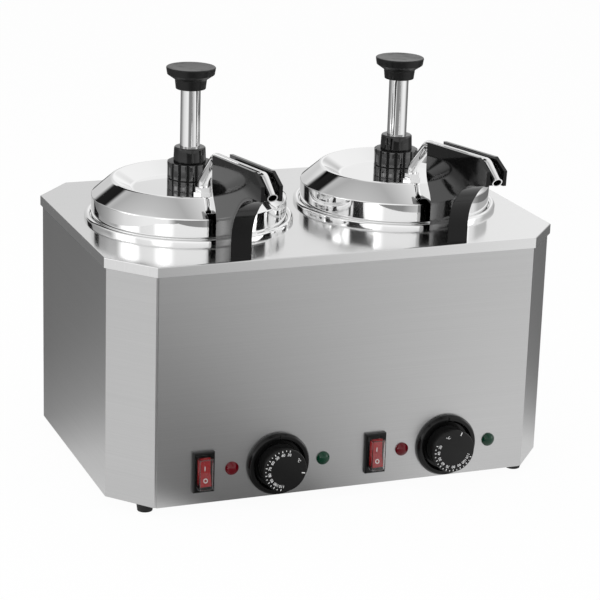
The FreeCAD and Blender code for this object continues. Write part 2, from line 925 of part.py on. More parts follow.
def make_spout_arm():
    half = arm_width / 2
    route = [(arm_reach - arm_tab, -sheet)] + arm_rise(-sheet)
    points = [V(-half, -reach, height) for reach, height in route]
    face = sheet_face(points, [arm_fold, arm_bend, arm_top_bend], V(1, 0, 0), arm_sheet)
    arm = face.extrude(V(arm_width, 0, 0))
    for x, y in stud_places():
        hole = stud_radius + stud_hole_clearance
        arm = arm.cut(cylinder(hole, x, y, -sheet - stud_length, -sheet + overrun))
    return arm


def stud_places():
    y = -(arm_reach - stud_setback)
    return [(side * stud_spacing / 2, y) for side in (-1, 1)]


def make_arm_studs():
    studs = []
    for x, y in stud_places():
        nut_top = -sheet - arm_sheet
        stud = cylinder(stud_radius, x, y, -sheet - stud_length, -sheet)
        nut = hexagon(stud_nut_across, x, y, nut_top - stud_nut_height, nut_top)
        studs.append(stud.fuse(nut).removeSplitter())
    return studs


def ring_solid(inner, outer, low, high):
    return turned([(inner, low), (outer, low), (outer, high), (inner, high)])


def make_well_heater():
    return ring_solid(well_outer, band_outer, band_lift - well_depth, -band_top)


def make_insulation():
    return ring_solid(band_outer, band_outer + sleeve_thickness, sleeve_lift - well_depth, -sleeve_top)


# A thermostat behind the dial, its thin sensing tube and the bulb against the well
def make_thermostat(name):
    x = dial_x[name]
    half = thermostat_size / 2
    back = front_inside + thermostat_depth
    body = box(x - half, x + half, front_inside, back, control_z - half, control_z + half)
    spindle_end = front_face + spindle_length + cutout_clearance
    hole = spindle_radius + running_gap
    body = body.cut(cylinder_y(hole, x, control_z, front_inside - overrun, spindle_end))
    offset = x - units[name]
    bulb_y = -math.sqrt((well_outer + bulb_radius) ** 2 - offset ** 2)
    bulb_low = deck - bulb_top - bulb_length
    bulb = cylinder(bulb_radius, x, bulb_y, bulb_low, deck - bulb_top)
    start_y = back - capillary_back
    level = deck - sleeve_top + capillary_rise
    route = [V(x, start_y, control_z + half), V(x, start_y, level)]
    route += [V(x, bulb_y, level), V(x, bulb_y, bulb_low)]
    return [body, bar(route, capillary_round, capillary_radius), bulb]


def make_dial_bezel(name):
    x = dial_x[name]
    top = bezel_radius - bezel_round_width
    profile = [(bezel_hole, 0), (bezel_radius, 0), (bezel_radius, bezel_shoulder), (top, bezel_height)]
    profile += [(bezel_inner, bezel_height), (bezel_floor_radius, bezel_floor), (bezel_hole, bezel_floor)]
    bezel = turned_front(profile, x, control_z)
    low = control_z + bezel_floor_radius
    high = control_z + bezel_radius + overrun
    half = notch_width / 2
    front = front_face - bezel_height
    notch = box(x - half, x + half, front - overrun, front + notch_depth, low, high)
    return bezel.cut(notch)


def make_dial_knob(name):
    x = dial_x[name]
    base = bezel_floor + dial_gap
    profile = [(0, -spindle_length), (spindle_radius, -spindle_length), (spindle_radius, base)]
    profile += [(dial_base, base), (dial_face, dial_proud - dial_edge)]
    profile += [(dial_face - dial_edge, dial_proud), (0, dial_proud)]
    return turned_front(profile, x, control_z)


def make_switch_housing(name):
    x = switch_x(name)
    face = front_face - switch_proud
    front = control_block(x, switch_width, switch_height, face, front_face)
    rim = [edge for edge in front.Edges if all(abs(v.Y - face) < tiny for v in edge.Vertexes)]
    front = front.makeChamfer(switch_edge, rim)
    rear = front_face + switch_depth
    housing = front.fuse(control_block(x, switch_body_width, switch_body_height, front_face, rear))
    housing = housing.cut(control_block(x, pocket_width, pocket_height, face - overrun, face + pocket_depth))
    reach = rocker_width / 2 + pin_length + pin_end_gap
    pin_y = face + rocker_pivot_depth
    return housing.cut(cylinder_x(pin_radius + running_gap, pin_y, control_z, x - reach, x + reach))


# A rocker with two horns and a valley, tipped about its pins with its upper horn pressed in
def make_rocker(name):
    x = switch_x(name)
    face = front_face - switch_proud
    half = rocker_height / 2
    keel = rocker_keel_height / 2
    outline = [(-half, rocker_horn), (0, rocker_valley), (half, rocker_horn), (half, -rocker_skirt)]
    outline += [(keel, -rocker_keel), (-keel, -rocker_keel), (-half, -rocker_skirt)]
    low = x - rocker_width / 2
    points = [V(low, face - proud, control_z + height) for height, proud in outline]
    rocker = polygon_face(points).extrude(V(rocker_width, 0, 0))
    reach = rocker_width / 2 + pin_length
    pivot_y = face + rocker_pivot_depth
    rocker = rocker.fuse(cylinder_x(pin_radius, pivot_y, control_z, x - reach, x + reach))
    rocker.rotate(V(x, pivot_y, control_z), V(1, 0, 0), -rocker_tilt)
    return rocker


def make_switch_cover(name):
    x = switch_x(name)
    face = front_face - switch_proud
    front = face - cover_proud
    cover = control_block(x, cover_width, cover_height, front, face)
    rim = [edge for edge in cover.Edges if all(abs(v.Y - front) < tiny for v in edge.Vertexes)]
    cover = cover.makeFillet(cover_edge, rim)
    walls = 2 * cover_wall
    inside = control_block(x, cover_width - walls, cover_height - walls, front + cover_wall, face + overrun)
    return cover.cut(inside)


# A lamp lens with a domed front, its body behind the panel
def make_lamp(name, offset):
    x = dial_x[name] + offset
    dome_height = lamp_dome
    dome_radius = (lamp_radius ** 2 + dome_height ** 2) / (2 * dome_height)
    ball = Part.makeSphere(dome_radius, V(x, front_face - lamp_rim - dome_height + dome_radius, control_z))
    rim_front = front_face - lamp_rim
    stem = cylinder_y(lamp_radius, x, control_z, rim_front - dome_height - overrun, rim_front)
    lens = ball.common(stem).fuse(cylinder_y(lamp_radius, x, control_z, rim_front, front_face))
    lens = lens.fuse(cylinder_y(lamp_body, x, control_z, front_face, front_face + lamp_depth))
    return lens.removeSplitter()


def make_lamp_nuts():
    nuts = []
    for x in dial_x.values():
        for offset in (red_offset, green_offset):
            near = front_inside
            far = near + lamp_nut_height
            nut = hexagon_y(lamp_nut_across, x + offset, control_z, near, far)
            hole = lamp_body + running_gap
            nuts.append(nut.cut(cylinder_y(hole, x + offset, control_z, near - overrun, far + overrun)))
    return nuts


def make_panel_screws():
    screws = []
    outside = -front_face
    for x, z in back_screw_places():
        head = cylinder_y(screw_head, x, z, outside, outside + screw_head_height)
        shank = cylinder_y(screw_radius, x, z, -lap_inside - screw_tail, outside + tiny)
        screws.append(head.fuse(shank).removeSplitter())
    return screws


def make_power_inlet():
    z = panel_bottom + inlet_height
    outside = -front_face
    back = outside + inlet_plate
    front = outside - inlet_body_depth
    plate = upright_block(inlet_x, z, inlet_plate_width, inlet_plate_height, outside, back)
    inlet = plate.fuse(upright_block(inlet_x, z, inlet_body_width, inlet_body_height, front, outside))
    width = inlet_body_width - 2 * inlet_wall
    height = inlet_body_height - 2 * inlet_wall
    floor = back - inlet_recess
    inlet = inlet.cut(upright_block(inlet_x, z, width, height, floor, back + overrun))
    for step in (-1, 0, 1):
        x = inlet_x + step * inlet_pin_spacing
        near = floor - overrun
        pin = upright_block(x, z, inlet_pin_width, inlet_pin_height, near, floor + inlet_pin_length)
        inlet = inlet.fuse(pin)
    return inlet.removeSplitter()


def make_terminal_block():
    low = panel_bottom + sheet
    half = block_width / 2
    block = box(-half, half, block_y - block_depth / 2, block_y + block_depth / 2, low, low + block_height)
    pitch = block_width / block_ways
    for way in range(1, block_ways):
        x = way * pitch - half
        front = block_y - block_depth
        back = block_y + block_depth
        groove = low + block_height / 2
        slot = box(x - block_slot / 2, x + block_slot / 2, front, back, groove, low + block_height + overrun)
        block = block.cut(slot)
    return block


# Leads from the terminal block to the inlet, to each switch and to each well heater
def make_wiring():
    level = panel_bottom + sheet + wire_level
    pitch = block_width / block_ways
    front = block_y - block_depth / 2
    back = block_y + block_depth / 2
    inlet_z = panel_bottom + inlet_height
    inlet_y = -front_face - inlet_body_depth
    middle_y = (back + inlet_y) / 2
    routes = []
    for step in (-1, 1):
        x = inlet_x + step * pitch / 2
        turns = [V(x, back, level), V(x, middle_y, level)]
        routes.append(turns + [V(x, middle_y, inlet_z), V(x, inlet_y, inlet_z)])
    for name, side in (("left", -1), ("right", 1)):
        x = side * pitch / 2
        rear = front_face + switch_depth
        turn_y = (front + rear) / 2
        target = switch_x(name)
        turns = [V(x, front, level), V(x, turn_y, level)]
        routes.append(turns + [V(target, turn_y, control_z), V(target, rear, control_z)])
        x = units[name] - side * (well_outer + band_thickness / 2)
        routes.append([V(x, front, level), V(x, 0, level), V(x, 0, deck - well_depth + band_lift)])
    return [bar(route, wire_round, wire_radius) for route in routes]


def at_unit(shape, name):
    moved = shape.copy()
    moved.translate(V(units[name], 0, deck))
    return moved


save("top_plate", make_top_plate())
save("side_shell_left", make_side_shell(-1))
save("side_shell_right", make_side_shell(1))
save("front_panel", make_front_panel())
save("back_panel", make_back_panel())
save("bottom_plate", make_bottom_plate())
save("rubber_feet", *make_feet())
save("foot_screws", *make_foot_screws())
save("power_inlet", make_power_inlet())
save("terminal_block", make_terminal_block())
save("wiring", *make_wiring())
studs = [at_unit(stud, name) for name in units for stud in make_arm_studs()]
save("cabinet_fasteners", *make_panel_screws(), *studs, *make_lamp_nuts())
save("thermostats", *make_thermostat("left"), *make_thermostat("right"))

# Pieces that both units have and that share one node
shared = {
    "well_heaters": make_well_heater,
    "well_insulation": make_insulation,
    "spout_heaters": make_spout_heater,
}
for node, make in shared.items():
    shape = make()
    save(node, at_unit(shape, "left"), at_unit(shape, "right"))

# Pieces of each unit, made once on its axis and set at both places
unit_pieces = {
    "well": make_well,
    "jar": make_jar,
    "lid": make_lid,
    "pump_nut": make_pump_nut,
    "pump_collar": make_pump_collar,
    "pump_cylinder": make_pump_cylinder,
    "foot_valve": make_foot_valve,
    "tube_union": make_tube_union,
    "discharge_tube": make_discharge_tube,
    "plunger_tube": make_plunger_tube,
    "plunger_knob": make_plunger_knob,
    "piston_seal": make_piston_seal,
    "plunger_spring": make_plunger_spring,
    "spout_channel": make_spout_channel,
    "spout_arm": make_spout_arm,
}
for node, make in unit_pieces.items():
    shape = make()
    for name in units:
        save(node + "_" + name, at_unit(shape, name))

# Controls of each unit on the front panel
for name in units:
    save("dial_bezel_" + name, make_dial_bezel(name))
    save("dial_knob_" + name, make_dial_knob(name))
    save("switch_housing_" + name, make_switch_housing(name))
    save("rocker_" + name, make_rocker(name))
    save("switch_cover_" + name, make_switch_cover(name))
    save("red_lamp_" + name, make_lamp(name, red_offset))
    save("green_lamp_" + name, make_lamp(name, green_offset))
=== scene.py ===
# Twin hot fudge topping warmer, dressed for the studio
import math

import bmesh
import bpy
import numpy as np
from mathutils import Matrix, Vector


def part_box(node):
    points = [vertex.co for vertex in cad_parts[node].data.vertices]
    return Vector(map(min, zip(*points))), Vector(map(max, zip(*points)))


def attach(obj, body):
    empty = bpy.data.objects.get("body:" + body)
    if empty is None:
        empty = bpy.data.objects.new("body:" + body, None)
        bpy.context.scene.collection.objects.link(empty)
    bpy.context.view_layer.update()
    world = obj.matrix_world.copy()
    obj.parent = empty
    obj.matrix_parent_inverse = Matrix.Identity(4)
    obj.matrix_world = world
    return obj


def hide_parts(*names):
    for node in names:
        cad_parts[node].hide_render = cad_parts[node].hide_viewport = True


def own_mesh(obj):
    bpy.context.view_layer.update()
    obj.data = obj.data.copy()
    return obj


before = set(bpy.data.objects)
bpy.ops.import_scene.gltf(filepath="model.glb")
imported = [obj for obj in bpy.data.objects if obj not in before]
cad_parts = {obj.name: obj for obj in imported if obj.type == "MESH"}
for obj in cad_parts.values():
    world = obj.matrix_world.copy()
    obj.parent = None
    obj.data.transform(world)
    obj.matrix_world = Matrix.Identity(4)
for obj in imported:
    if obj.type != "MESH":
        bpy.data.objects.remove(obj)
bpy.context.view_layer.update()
scene = bpy.context.scene
mm = 0.001
sides = ("left", "right")
print("frame loaded:", len(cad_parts), "nodes")


def middleOf(node):
    low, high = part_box(node)
    return (low + high) / 2


# Where things stand, read from the frame
cabinet = {
    "middleY": middleOf("top_plate").y,
    "deck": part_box("top_plate")[1].z,
    "front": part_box("front_panel")[0].y,
    "control": middleOf("dial_knob_left").z,
}
unitX = {side: middleOf("lid_" + side).x for side in sides}
dialX = {side: middleOf("dial_knob_" + side).x for side in sides}


def onUnit(side):
    return (unitX[side], cabinet["middleY"], cabinet["deck"])


def onPanel(x):
    return (x, cabinet["front"], cabinet["control"])


def addObject(name, data):
    added = bpy.data.objects.new(name, data)
    scene.collection.objects.link(added)
    return added


# Camera, lamps and backdrop
cameraLook = {
    "azimuth": -21.46,  # degrees, 0 looks along +Y
    "elevation": 17.39,
    "roll": 1.81,
    "position": (-0.7653, -1.9735, 0.8119),  # from the cabinet's middle on the table
    "lens": 133.9,
    "sensor": 36.0,
}


def addCamera(look):
    azimuth, elevation, roll = (math.radians(look[key]) for key in ("azimuth", "elevation", "roll"))
    flat = math.cos(elevation)
    back = Vector((math.sin(azimuth) * flat, -math.cos(azimuth) * flat, math.sin(elevation)))
    right = Vector((math.cos(azimuth), math.sin(azimuth), 0))
    up = back.cross(right)
    turnedRight = right * math.cos(roll) + up * math.sin(roll)
    turnedUp = up * math.cos(roll) - right * math.sin(roll)
    camera = addObject("camera", bpy.data.cameras.new("camera"))
    turn = Matrix((turnedRight, turnedUp, back)).transposed().to_4x4()
    place = Vector(look["position"]) + Vector((0, cabinet["middleY"], 0))
    camera.matrix_world = Matrix.Translation(place) @ turn
    camera.data.lens = look["lens"]
    camera.data.sensor_width = look["sensor"]
    camera.data.clip_end = 50
    scene.camera = camera


# Softboxes: place, what they look at, size and power. Neither the camera nor polished metal sees them
softboxes = {
    "overhead": {"place": (-0.1, 0.1, 1.8), "aim": (0, 0, 0.2), "size": (1.6, 1.2), "power": 9},
    "rightFront": {"place": (1.7, -1.3, 0.7), "aim": (0, 0, 0.15), "size": (0.7, 1.4), "power": 12},
    "leftBack": {"place": (-1.6, 1.0, 0.9), "aim": (0, 0, 0.15), "size": (1.0, 1.2), "power": 6},
    "leftFront": {"place": (-1.5, -1.1, 0.8), "aim": (0, 0, 0.25), "size": (0.4, 1.0), "power": 8},
}


def addSoftbox(name, box):
    lamp = bpy.data.lights.new(name, "AREA")
    lamp.shape = "RECTANGLE"
    lamp.size, lamp.size_y = box["size"]
    lamp.energy = box["power"]
    lampObject = addObject(name, lamp)
    heading = Vector(box["aim"]) - Vector(box["place"])
    turn = heading.to_track_quat("-Z", "Y").to_matrix().to_4x4()
    lampObject.matrix_world = Matrix.Translation(box["place"]) @ turn
    lampObject.visible_camera = False
    lampObject.visible_glossy = False


# Tones that metal mirrors. The floor's go by compass degrees round the cabinet, 0 in front and
# 90 on the right. The sky's go along a heading, and near the horizon by compass degrees too.
# A dark card covers a span of compass degrees between two heights, 0 level and 1 straight up.
# The low strips are brighter than the rest by a gain
studio = {
    "light": 0.8,
    "compass": [
        (-180, 0.06), (-143, 0.08), (-120, 0.28), (-95, 0.72), (-72, 0.85), (-45, 0.85), (-36, 0.1),
        (-8, 0.15), (0, 0.35), (36, 0.9), (70, 0.85), (85, 0.3), (97, 0.08), (130, 0.05), (158, 0.05),
        (180, 0.1),
    ],
    "skyHeading": (0.9, 0.45, 0.0),
    "sky": [(-1.0, 0.95), (-0.45, 0.9), (-0.3, 0.55), (-0.15, 0.42), (0.15, 0.8), (0.6, 0.92), (1.0, 0.95)],
    "low": [(0.0, 1.0), (0.25, 0.9), (0.45, 0.0), (1.0, 0.0)],
    "lowSide": [
        (-180, 0.6), (-168, 0.6), (-150, 0.35), (-112, 0.35), (-92, 0.85), (-60, 1.0), (36, 1.0), (90, 0.9),
        (100, 0.45), (140, 0.4), (150, 1.0), (157, 0.88), (163, 0.72), (180, 0.6),
    ],
    "cards": [
        {
            "side": [(-180, 1.0), (-169, 1.0), (-164, 0.0), (-151, 0.0), (-148, 1.0), (180, 1.0)],
            "height": [(0.0, 1.0), (0.08, 1.0), (0.14, 0.02), (0.74, 0.02), (0.82, 1.0), (1.0, 1.0)],
        },
        {
            "side": [(-180, 0.0), (-163, 0.0), (-160, 1.0), (180, 1.0)],
            "height": [(0.0, 1.0), (0.46, 1.0), (0.5, 0.03), (0.8, 0.03), (0.88, 1.0), (1.0, 1.0)],
        },
    ],
    "strips": [
        (-180, 0.0), (-112, 0.0), (-98, 0.9), (-88, 0.9), (-76, 0.0), (-60, 0.0), (-48, 0.7), (-34, 0.0),
        (48, 0.0), (62, 1.0), (70, 1.0), (84, 0.0), (180, 0.0),
    ],
    "stripHeight": [(0.0, 0.0), (0.04, 1.0), (0.36, 1.0), (0.42, 0.0), (1.0, 0.0)],
    "stripGain": 1.8,
}


def grey(value):
    return (value, value, value, 1)


# Inputs by name or place: a number or colour is set, and another node's output is linked
def feed(tree, node, inputs):
    for label, value in inputs.items():
        if isinstance(value, bpy.types.NodeSocket):
            tree.links.new(value, node.inputs[label])
        else:
            node.inputs[label].default_value = value


def addNode(tree, kind, inputs=None, **settings):
    node = tree.nodes.new("ShaderNode" + kind)
    for name, value in settings.items():
        setattr(node, name, value)
    feed(tree, node, inputs or {})
    return node


def calculate(tree, operation, first, second):
    return addNode(tree, "Math", {0: first, 1: second}, operation=operation).outputs[0]


def mapRange(tree, value, low, high, start=0.0, end=1.0, curve="LINEAR"):
    inputs = {"Value": value, "From Min": start, "From Max": end, "To Min": low, "To Max": high}
    return addNode(tree, "MapRange", inputs, interpolation_type=curve).outputs["Result"]


# Grey tones along a value, from pairs of value and tone
def toneRamp(tree, value, stops):
    low, high = stops[0][0], stops[-1][0]
    ramp = addNode(tree, "ValToRGB", {"Fac": mapRange(tree, value, 0.0, 1.0, low, high)})
    elements = ramp.color_ramp.elements
    for place, tone in stops[1:-1]:
        elements.new((place - low) / (high - low)).color = grey(tone)
    elements[0].color = grey(stops[0][1])
    elements[-1].color = grey(stops[-1][1])
    return ramp.outputs["Color"]


# Compass degrees of a direction or place: the angle of X against minus Y
def compass(tree, x, y):
    angle = calculate(tree, "ARCTAN2", x, calculate(tree, "MULTIPLY", y, -1.0))
    return calculate(tree, "DEGREES", angle, 0.0)


def mixShaders(tree, share, first, second):
    return addNode(tree, "MixShader", {0: share, 1: first, 2: second}).outputs[0]


# Two shares: rays from the camera, straight or through something clear, and rays that metal mirrors
def rayShares(tree):
    path = addNode(tree, "LightPath").outputs
    direct = calculate(tree, "MAXIMUM", path["Is Camera Ray"], path["Is Transmission Ray"])
    return direct, path["Is Glossy Ray"]


# A plain level lights the object, the camera sees white, and metal sees the studio's tones
def addWorld(look):
    world = bpy.data.worlds.new("studio")
    world.use_nodes = True
    tree = world.node_tree
    tree.nodes.clear()
    heading = addNode(tree, "TexCoord").outputs["Generated"]
    x, y, z = addNode(tree, "SeparateXYZ", {0: heading}).outputs
    inputs = {0: heading, 1: Vector(look["skyHeading"]).normalized()}
    across = addNode(tree, "VectorMath", inputs, operation="DOT_PRODUCT").outputs["Value"]
    around = compass(tree, x, y)
    tones = {
        "Factor": toneRamp(tree, z, look["low"]),
        "A": toneRamp(tree, across, look["sky"]),
        "B": toneRamp(tree, around, look["lowSide"]),
    }
    colour = addNode(tree, "Mix", tones, data_type="RGBA").outputs["Result"]
    strip = toneRamp(tree, around, look["strips"])
    strip = calculate(tree, "MULTIPLY", strip, toneRamp(tree, z, look["stripHeight"]))
    strength = calculate(tree, "ADD", calculate(tree, "MULTIPLY", strip, look["stripGain"]), 1.0)
    for card in look["cards"]:
        side = toneRamp(tree, around, card["side"])
        height = toneRamp(tree, z, card["height"])
        strength = calculate(tree, "MULTIPLY", strength, calculate(tree, "MAXIMUM", side, height))
    light = addNode(tree, "Background", {"Strength": look["light"]})
    seen = addNode(tree, "Background", {"Color": grey(1.0)})
    mirrored = addNode(tree, "Background", {"Color": colour, "Strength": strength})
    direct, glossy = rayShares(tree)
    shown = mixShaders(tree, glossy, light.outputs[0], mirrored.outputs[0])
    addNode(tree, "OutputWorld", {"Surface": mixShaders(tree, direct, shown, seen.outputs[0])})
    world.cycles.sampling_method = "NONE"
    scene.world = world


floorLook = {"size": 8.0, "colour": (0.86, 0.86, 0.86), "whiteShare": 0.96, "mirroredShare": 0.85}


# A pale floor: the camera sees most of it as white and the rest as lit, so that the shadow stays,
# and metal sees the studio's tones on it
def addFloor(look, stops):
    half = look["size"] / 2
    corners = [(-half, -half, 0), (half, -half, 0), (half, half, 0), (-half, half, 0)]
    mesh = bpy.data.meshes.new("floor")
    mesh.from_pydata(corners, [], [(0, 1, 2, 3)])
    material = bpy.data.materials.new("floor")
    material.use_nodes = True
    tree = material.node_tree
    tree.nodes.clear()
    place = addNode(tree, "TexCoord").outputs["Object"]
    x, y = addNode(tree, "SeparateXYZ", {0: place}).outputs[:2]
    around = compass(tree, x, calculate(tree, "SUBTRACT", y, cabinet["middleY"]))
    matt = addNode(tree, "BsdfDiffuse", {"Color": (*look["colour"], 1)})
    white = addNode(tree, "Emission")
    mirrored = addNode(tree, "Emission", {"Color": toneRamp(tree, around, stops)})
    direct, glossy = rayShares(tree)
    direct = calculate(tree, "MULTIPLY", direct, look["whiteShare"])
    glossy = calculate(tree, "MULTIPLY", glossy, look["mirroredShare"])
    shown = mixShaders(tree, direct, matt.outputs[0], white.outputs[0])
    addNode(tree, "OutputMaterial", {"Surface": mixShaders(tree, glossy, shown, mirrored.outputs[0])})
    material.cycles.emission_sampling = "NONE"
    mesh.materials.append(material)
    addObject("floor", mesh)


addCamera(cameraLook)
for name, box in softboxes.items():
    addSoftbox(name, box)
addWorld(studio)
addFloor(floorLook, studio["compass"])
scene.view_settings.view_transform = "Standard"
print("studio ready")

# Shader groups that several finishes share


# A group takes a coordinate and the inputs given here with their usual values. Of what it puts out,
# Colour is a colour and the rest are numbers
def newGroup(name, inputs, outputs):
    group = bpy.data.node_groups.new(name, "ShaderNodeTree")
    for label, value in {"Coordinate": (0.0, 0.0, 0.0), **inputs}.items():
        kind = "Float" if isinstance(value, float) else {3: "Vector", 4: "Color"}[len(value)]
        socket = group.interface.new_socket(name=label, in_out="INPUT", socket_type="NodeSocket" + kind)
        socket.default_value = value
    for label in outputs:
        kind = "Color" if label == "Colour" else "Float"
        group.interface.new_socket(name=label, in_out="OUTPUT", socket_type="NodeSocket" + kind)
    return group, group.nodes.new("NodeGroupInput").outputs


def closeGroup(group, results):
    feed(group, group.nodes.new("NodeGroupOutput"), results)
    return group


def noise(tree, place, scale, detail, roughness=0.5):
    inputs = {"Vector": place, "Scale": scale, "Detail": detail, "Roughness": roughness}
    return addNode(tree, "TexNoise", inputs).outputs["Fac"]


# Fine scratches drawn out along one axis, with a slow change of roughness across the sheet
def grainGroup(cloudScale=9.0):
    inputs = {"Stretch": (4.0, 4.0, 900.0), "Tone Low": 0.9, "Tone High": 1.0, "Colour": grey(0.6)}
    inputs.update({"Roughness Low": 0.25, "Roughness High": 0.35})
    group, entry = newGroup("brushedGrain", inputs, ["Colour", "Roughness", "Height"])
    place = entry["Coordinate"]
    stretched = addNode(group, "VectorMath", {0: place, 1: entry["Stretch"]}, operation="MULTIPLY")
    lines = noise(group, stretched.outputs[0], scale=1.0, detail=4.0)
    clouds = noise(group, place, scale=cloudScale, detail=2.0)
    tone = mapRange(group, lines, entry["Tone Low"], entry["Tone High"])
    shade = addNode(group, "VectorMath", {0: entry["Colour"], "Scale": tone}, operation="SCALE")
    rough = mapRange(group, clouds, entry["Roughness Low"], entry["Roughness High"])
    return closeGroup(group, {"Colour": shade.outputs[0], "Roughness": rough, "Height": lines})


# Faint wiping marks: patches that are a little rougher than the rest
def smudgeGroup(patchFrom=0.45, patchTo=0.7):
    inputs = {"Size": 30.0, "Clean": 0.04, "Smudged": 0.1}
    group, entry = newGroup("wipeMarks", inputs, ["Roughness", "Height"])
    patches = noise(group, entry["Coordinate"], entry["Size"], detail=5.0, roughness=0.6)
    rough = mapRange(group, patches, entry["Clean"], entry["Smudged"], patchFrom, patchTo, "SMOOTHSTEP")
    return closeGroup(group, {"Roughness": rough, "Height": patches})


# The pebbled skin of moulded plastic and rubber, with a film of paler dust
def mouldGroup(filmScale=60.0):
    inputs = {"Size": 1500.0, "Colour": grey(0.02), "Dust": grey(0.05), "Dust Share": 0.5}
    group, entry = newGroup("mouldedSkin", inputs, ["Colour", "Height"])
    pebbles = noise(group, entry["Coordinate"], entry["Size"], detail=2.0)
    film = noise(group, entry["Coordinate"], filmScale, detail=6.0)
    share = calculate(group, "MULTIPLY", film, entry["Dust Share"])
    colours = {"Factor": share, "A": entry["Colour"], "B": entry["Dust"]}
    mixed = addNode(group, "Mix", colours, data_type="RGBA")
    return closeGroup(group, {"Colour": mixed.outputs["Result"], "Height": pebbles})


brushedGrain = grainGroup()
wipeMarks = smudgeGroup()
mouldedSkin = mouldGroup()
bumpDepth = {"grain": 0.00004, "wipe": 0.00003, "skin": 0.00005, "lens": 0.0001}  # metres


def startMaterial(name):
    material = bpy.data.materials.new(name)
    material.use_nodes = True
    tree = material.node_tree
    return material, tree, tree.nodes["Principled BSDF"], addNode(tree, "TexCoord").outputs["Object"]


def useGroup(tree, group, coordinate, values):
    return addNode(tree, "Group", {"Coordinate": coordinate, **values}, node_tree=group).outputs


def bumpFrom(tree, shader, height, strength, kind):
    inputs = {"Strength": strength, "Distance": bumpDepth[kind], "Height": height}
    feed(tree, shader, {"Normal": addNode(tree, "Bump", inputs).outputs["Normal"]})


def brushedSteel(name, look):
    material, tree, shader, place = startMaterial(name)
    values = {"Stretch": look["stretch"], "Colour": look["colour"]}
    values["Tone Low"], values["Tone High"] = look["tone"]
    values["Roughness Low"], values["Roughness High"] = look["roughness"]
    grain = useGroup(tree, brushedGrain, place, values)
    feed(tree, shader, {"Base Color": grain["Colour"], "Roughness": grain["Roughness"], "Metallic": 1.0})
    bumpFrom(tree, shader, grain["Height"], look["bump"], "grain")
    return material


def polishedSteel(name, look):
    material, tree, shader, place = startMaterial(name)
    values = {"Size": look["size"], "Clean": look["clean"], "Smudged": look["smudged"]}
    marks = useGroup(tree, wipeMarks, place, values)
    feed(tree, shader, {"Base Color": look["colour"], "Roughness": marks["Roughness"], "Metallic": 1.0})
    bumpFrom(tree, shader, marks["Height"], look["bump"], "wipe")
    return material


def moulded(name, look, markSize=80.0):
    material, tree, shader, place = startMaterial(name)
    values = {"Size": look["size"], "Colour": look["colour"], "Dust": look["dust"]}
    values["Dust Share"] = look["dustShare"]
    skin = useGroup(tree, mouldedSkin, place, values)
    low, high = look["roughness"]
    marks = useGroup(tree, wipeMarks, place, {"Size": markSize, "Clean": low, "Smudged": high})
    feed(tree, shader, {
        "Base Color": skin["Colour"],
        "Roughness": marks["Roughness"],
        "Specular IOR Level": look.get("specular", 0.5),
        "Metallic": look.get("metallic", 0.0),
    })
    bumpFrom(tree, shader, skin["Height"], look["bump"], "skin")
    return material


# Black plastic whose ribs are polished: the mesh's own attribute says how much coat each point has
def ribbedPlastic(name, look):
    material = moulded(name, look)
    tree = material.node_tree
    feed(tree, tree.nodes["Principled BSDF"], {
        "Coat Weight": addNode(tree, "Attribute", attribute_name="shine").outputs["Fac"],
        "Coat Roughness": look["coatRoughness"],
        "Coat IOR": look["coatIor"],
    })
    return material


def lens(name, look):
    material, tree, shader, place = startMaterial(name)
    values = {"Size": look["size"], "Colour": look["colour"], "Dust": look["deep"]}
    values["Dust Share"] = look["deepShare"]
    skin = useGroup(tree, mouldedSkin, place, values)
    feed(tree, shader, {
        "Base Color": skin["Colour"],
        "Roughness": look["roughness"],
        "Transmission Weight": look["clear"],
        "Coat Weight": look["coat"],
        "Coat Roughness": look["coatRoughness"],
        "Emission Color": look["glow"],
        "Emission Strength": look["glowStrength"],
        "Specular IOR Level": look["specular"],
    })
    bumpFrom(tree, shader, skin["Height"], look["bump"], "lens")
    return material


def clearPlastic(name, look):
    material, tree, shader, place = startMaterial(name)
    values = {"Size": look["size"], "Clean": look["clean"], "Smudged": look["smudged"]}
    marks = useGroup(tree, wipeMarks, place, values)
    feed(tree, shader, {
        "Base Color": look["colour"],
        "Roughness": marks["Roughness"],
        "Transmission Weight": 1.0,
        "IOR": look["ior"],
    })
    return material


grainAlongX = (6.0, 6.0, 1400.0)
grainOnTop = (6.0, 1400.0, 6.0)
grainNone = (300.0, 300.0, 300.0)
steelLooks = {
    "panelSteel": {
        "stretch": grainAlongX, "tone": (0.92, 1.04), "colour": grey(0.58),
        "roughness": (0.27, 0.32), "bump": 0.25,
    },
    "topSteel": {
        "stretch": grainOnTop, "tone": (0.96, 1.03), "colour": grey(0.8),
        "roughness": (0.1, 0.16), "bump": 0.1,
    },
    "jarSteel": {
        "stretch": grainAlongX, "tone": (0.9, 1.04), "colour": grey(0.55),
        "roughness": (0.22, 0.3), "bump": 0.2,
    },
    "zincSteel": {
        "stretch": grainNone, "tone": (0.8, 1.05), "colour": (0.46, 0.47, 0.48, 1),
        "roughness": (0.3, 0.45), "bump": 0.2,
    },
    "heaterMetal": {
        "stretch": (300.0, 20.0, 300.0), "tone": (0.85, 1.05), "colour": grey(0.6),
        "roughness": (0.3, 0.4), "bump": 0.2,
    },
}
mirrorLooks = {
    "lidSteel": {"size": 22.0, "clean": 0.03, "smudged": 0.06, "colour": grey(0.93), "bump": 0.015},
    "brightTube": {"size": 60.0, "clean": 0.03, "smudged": 0.06, "colour": grey(0.9), "bump": 0.015},
}
blackSkin = {"size": 900.0, "colour": grey(0.004), "dust": grey(0.008), "dustShare": 0.4}
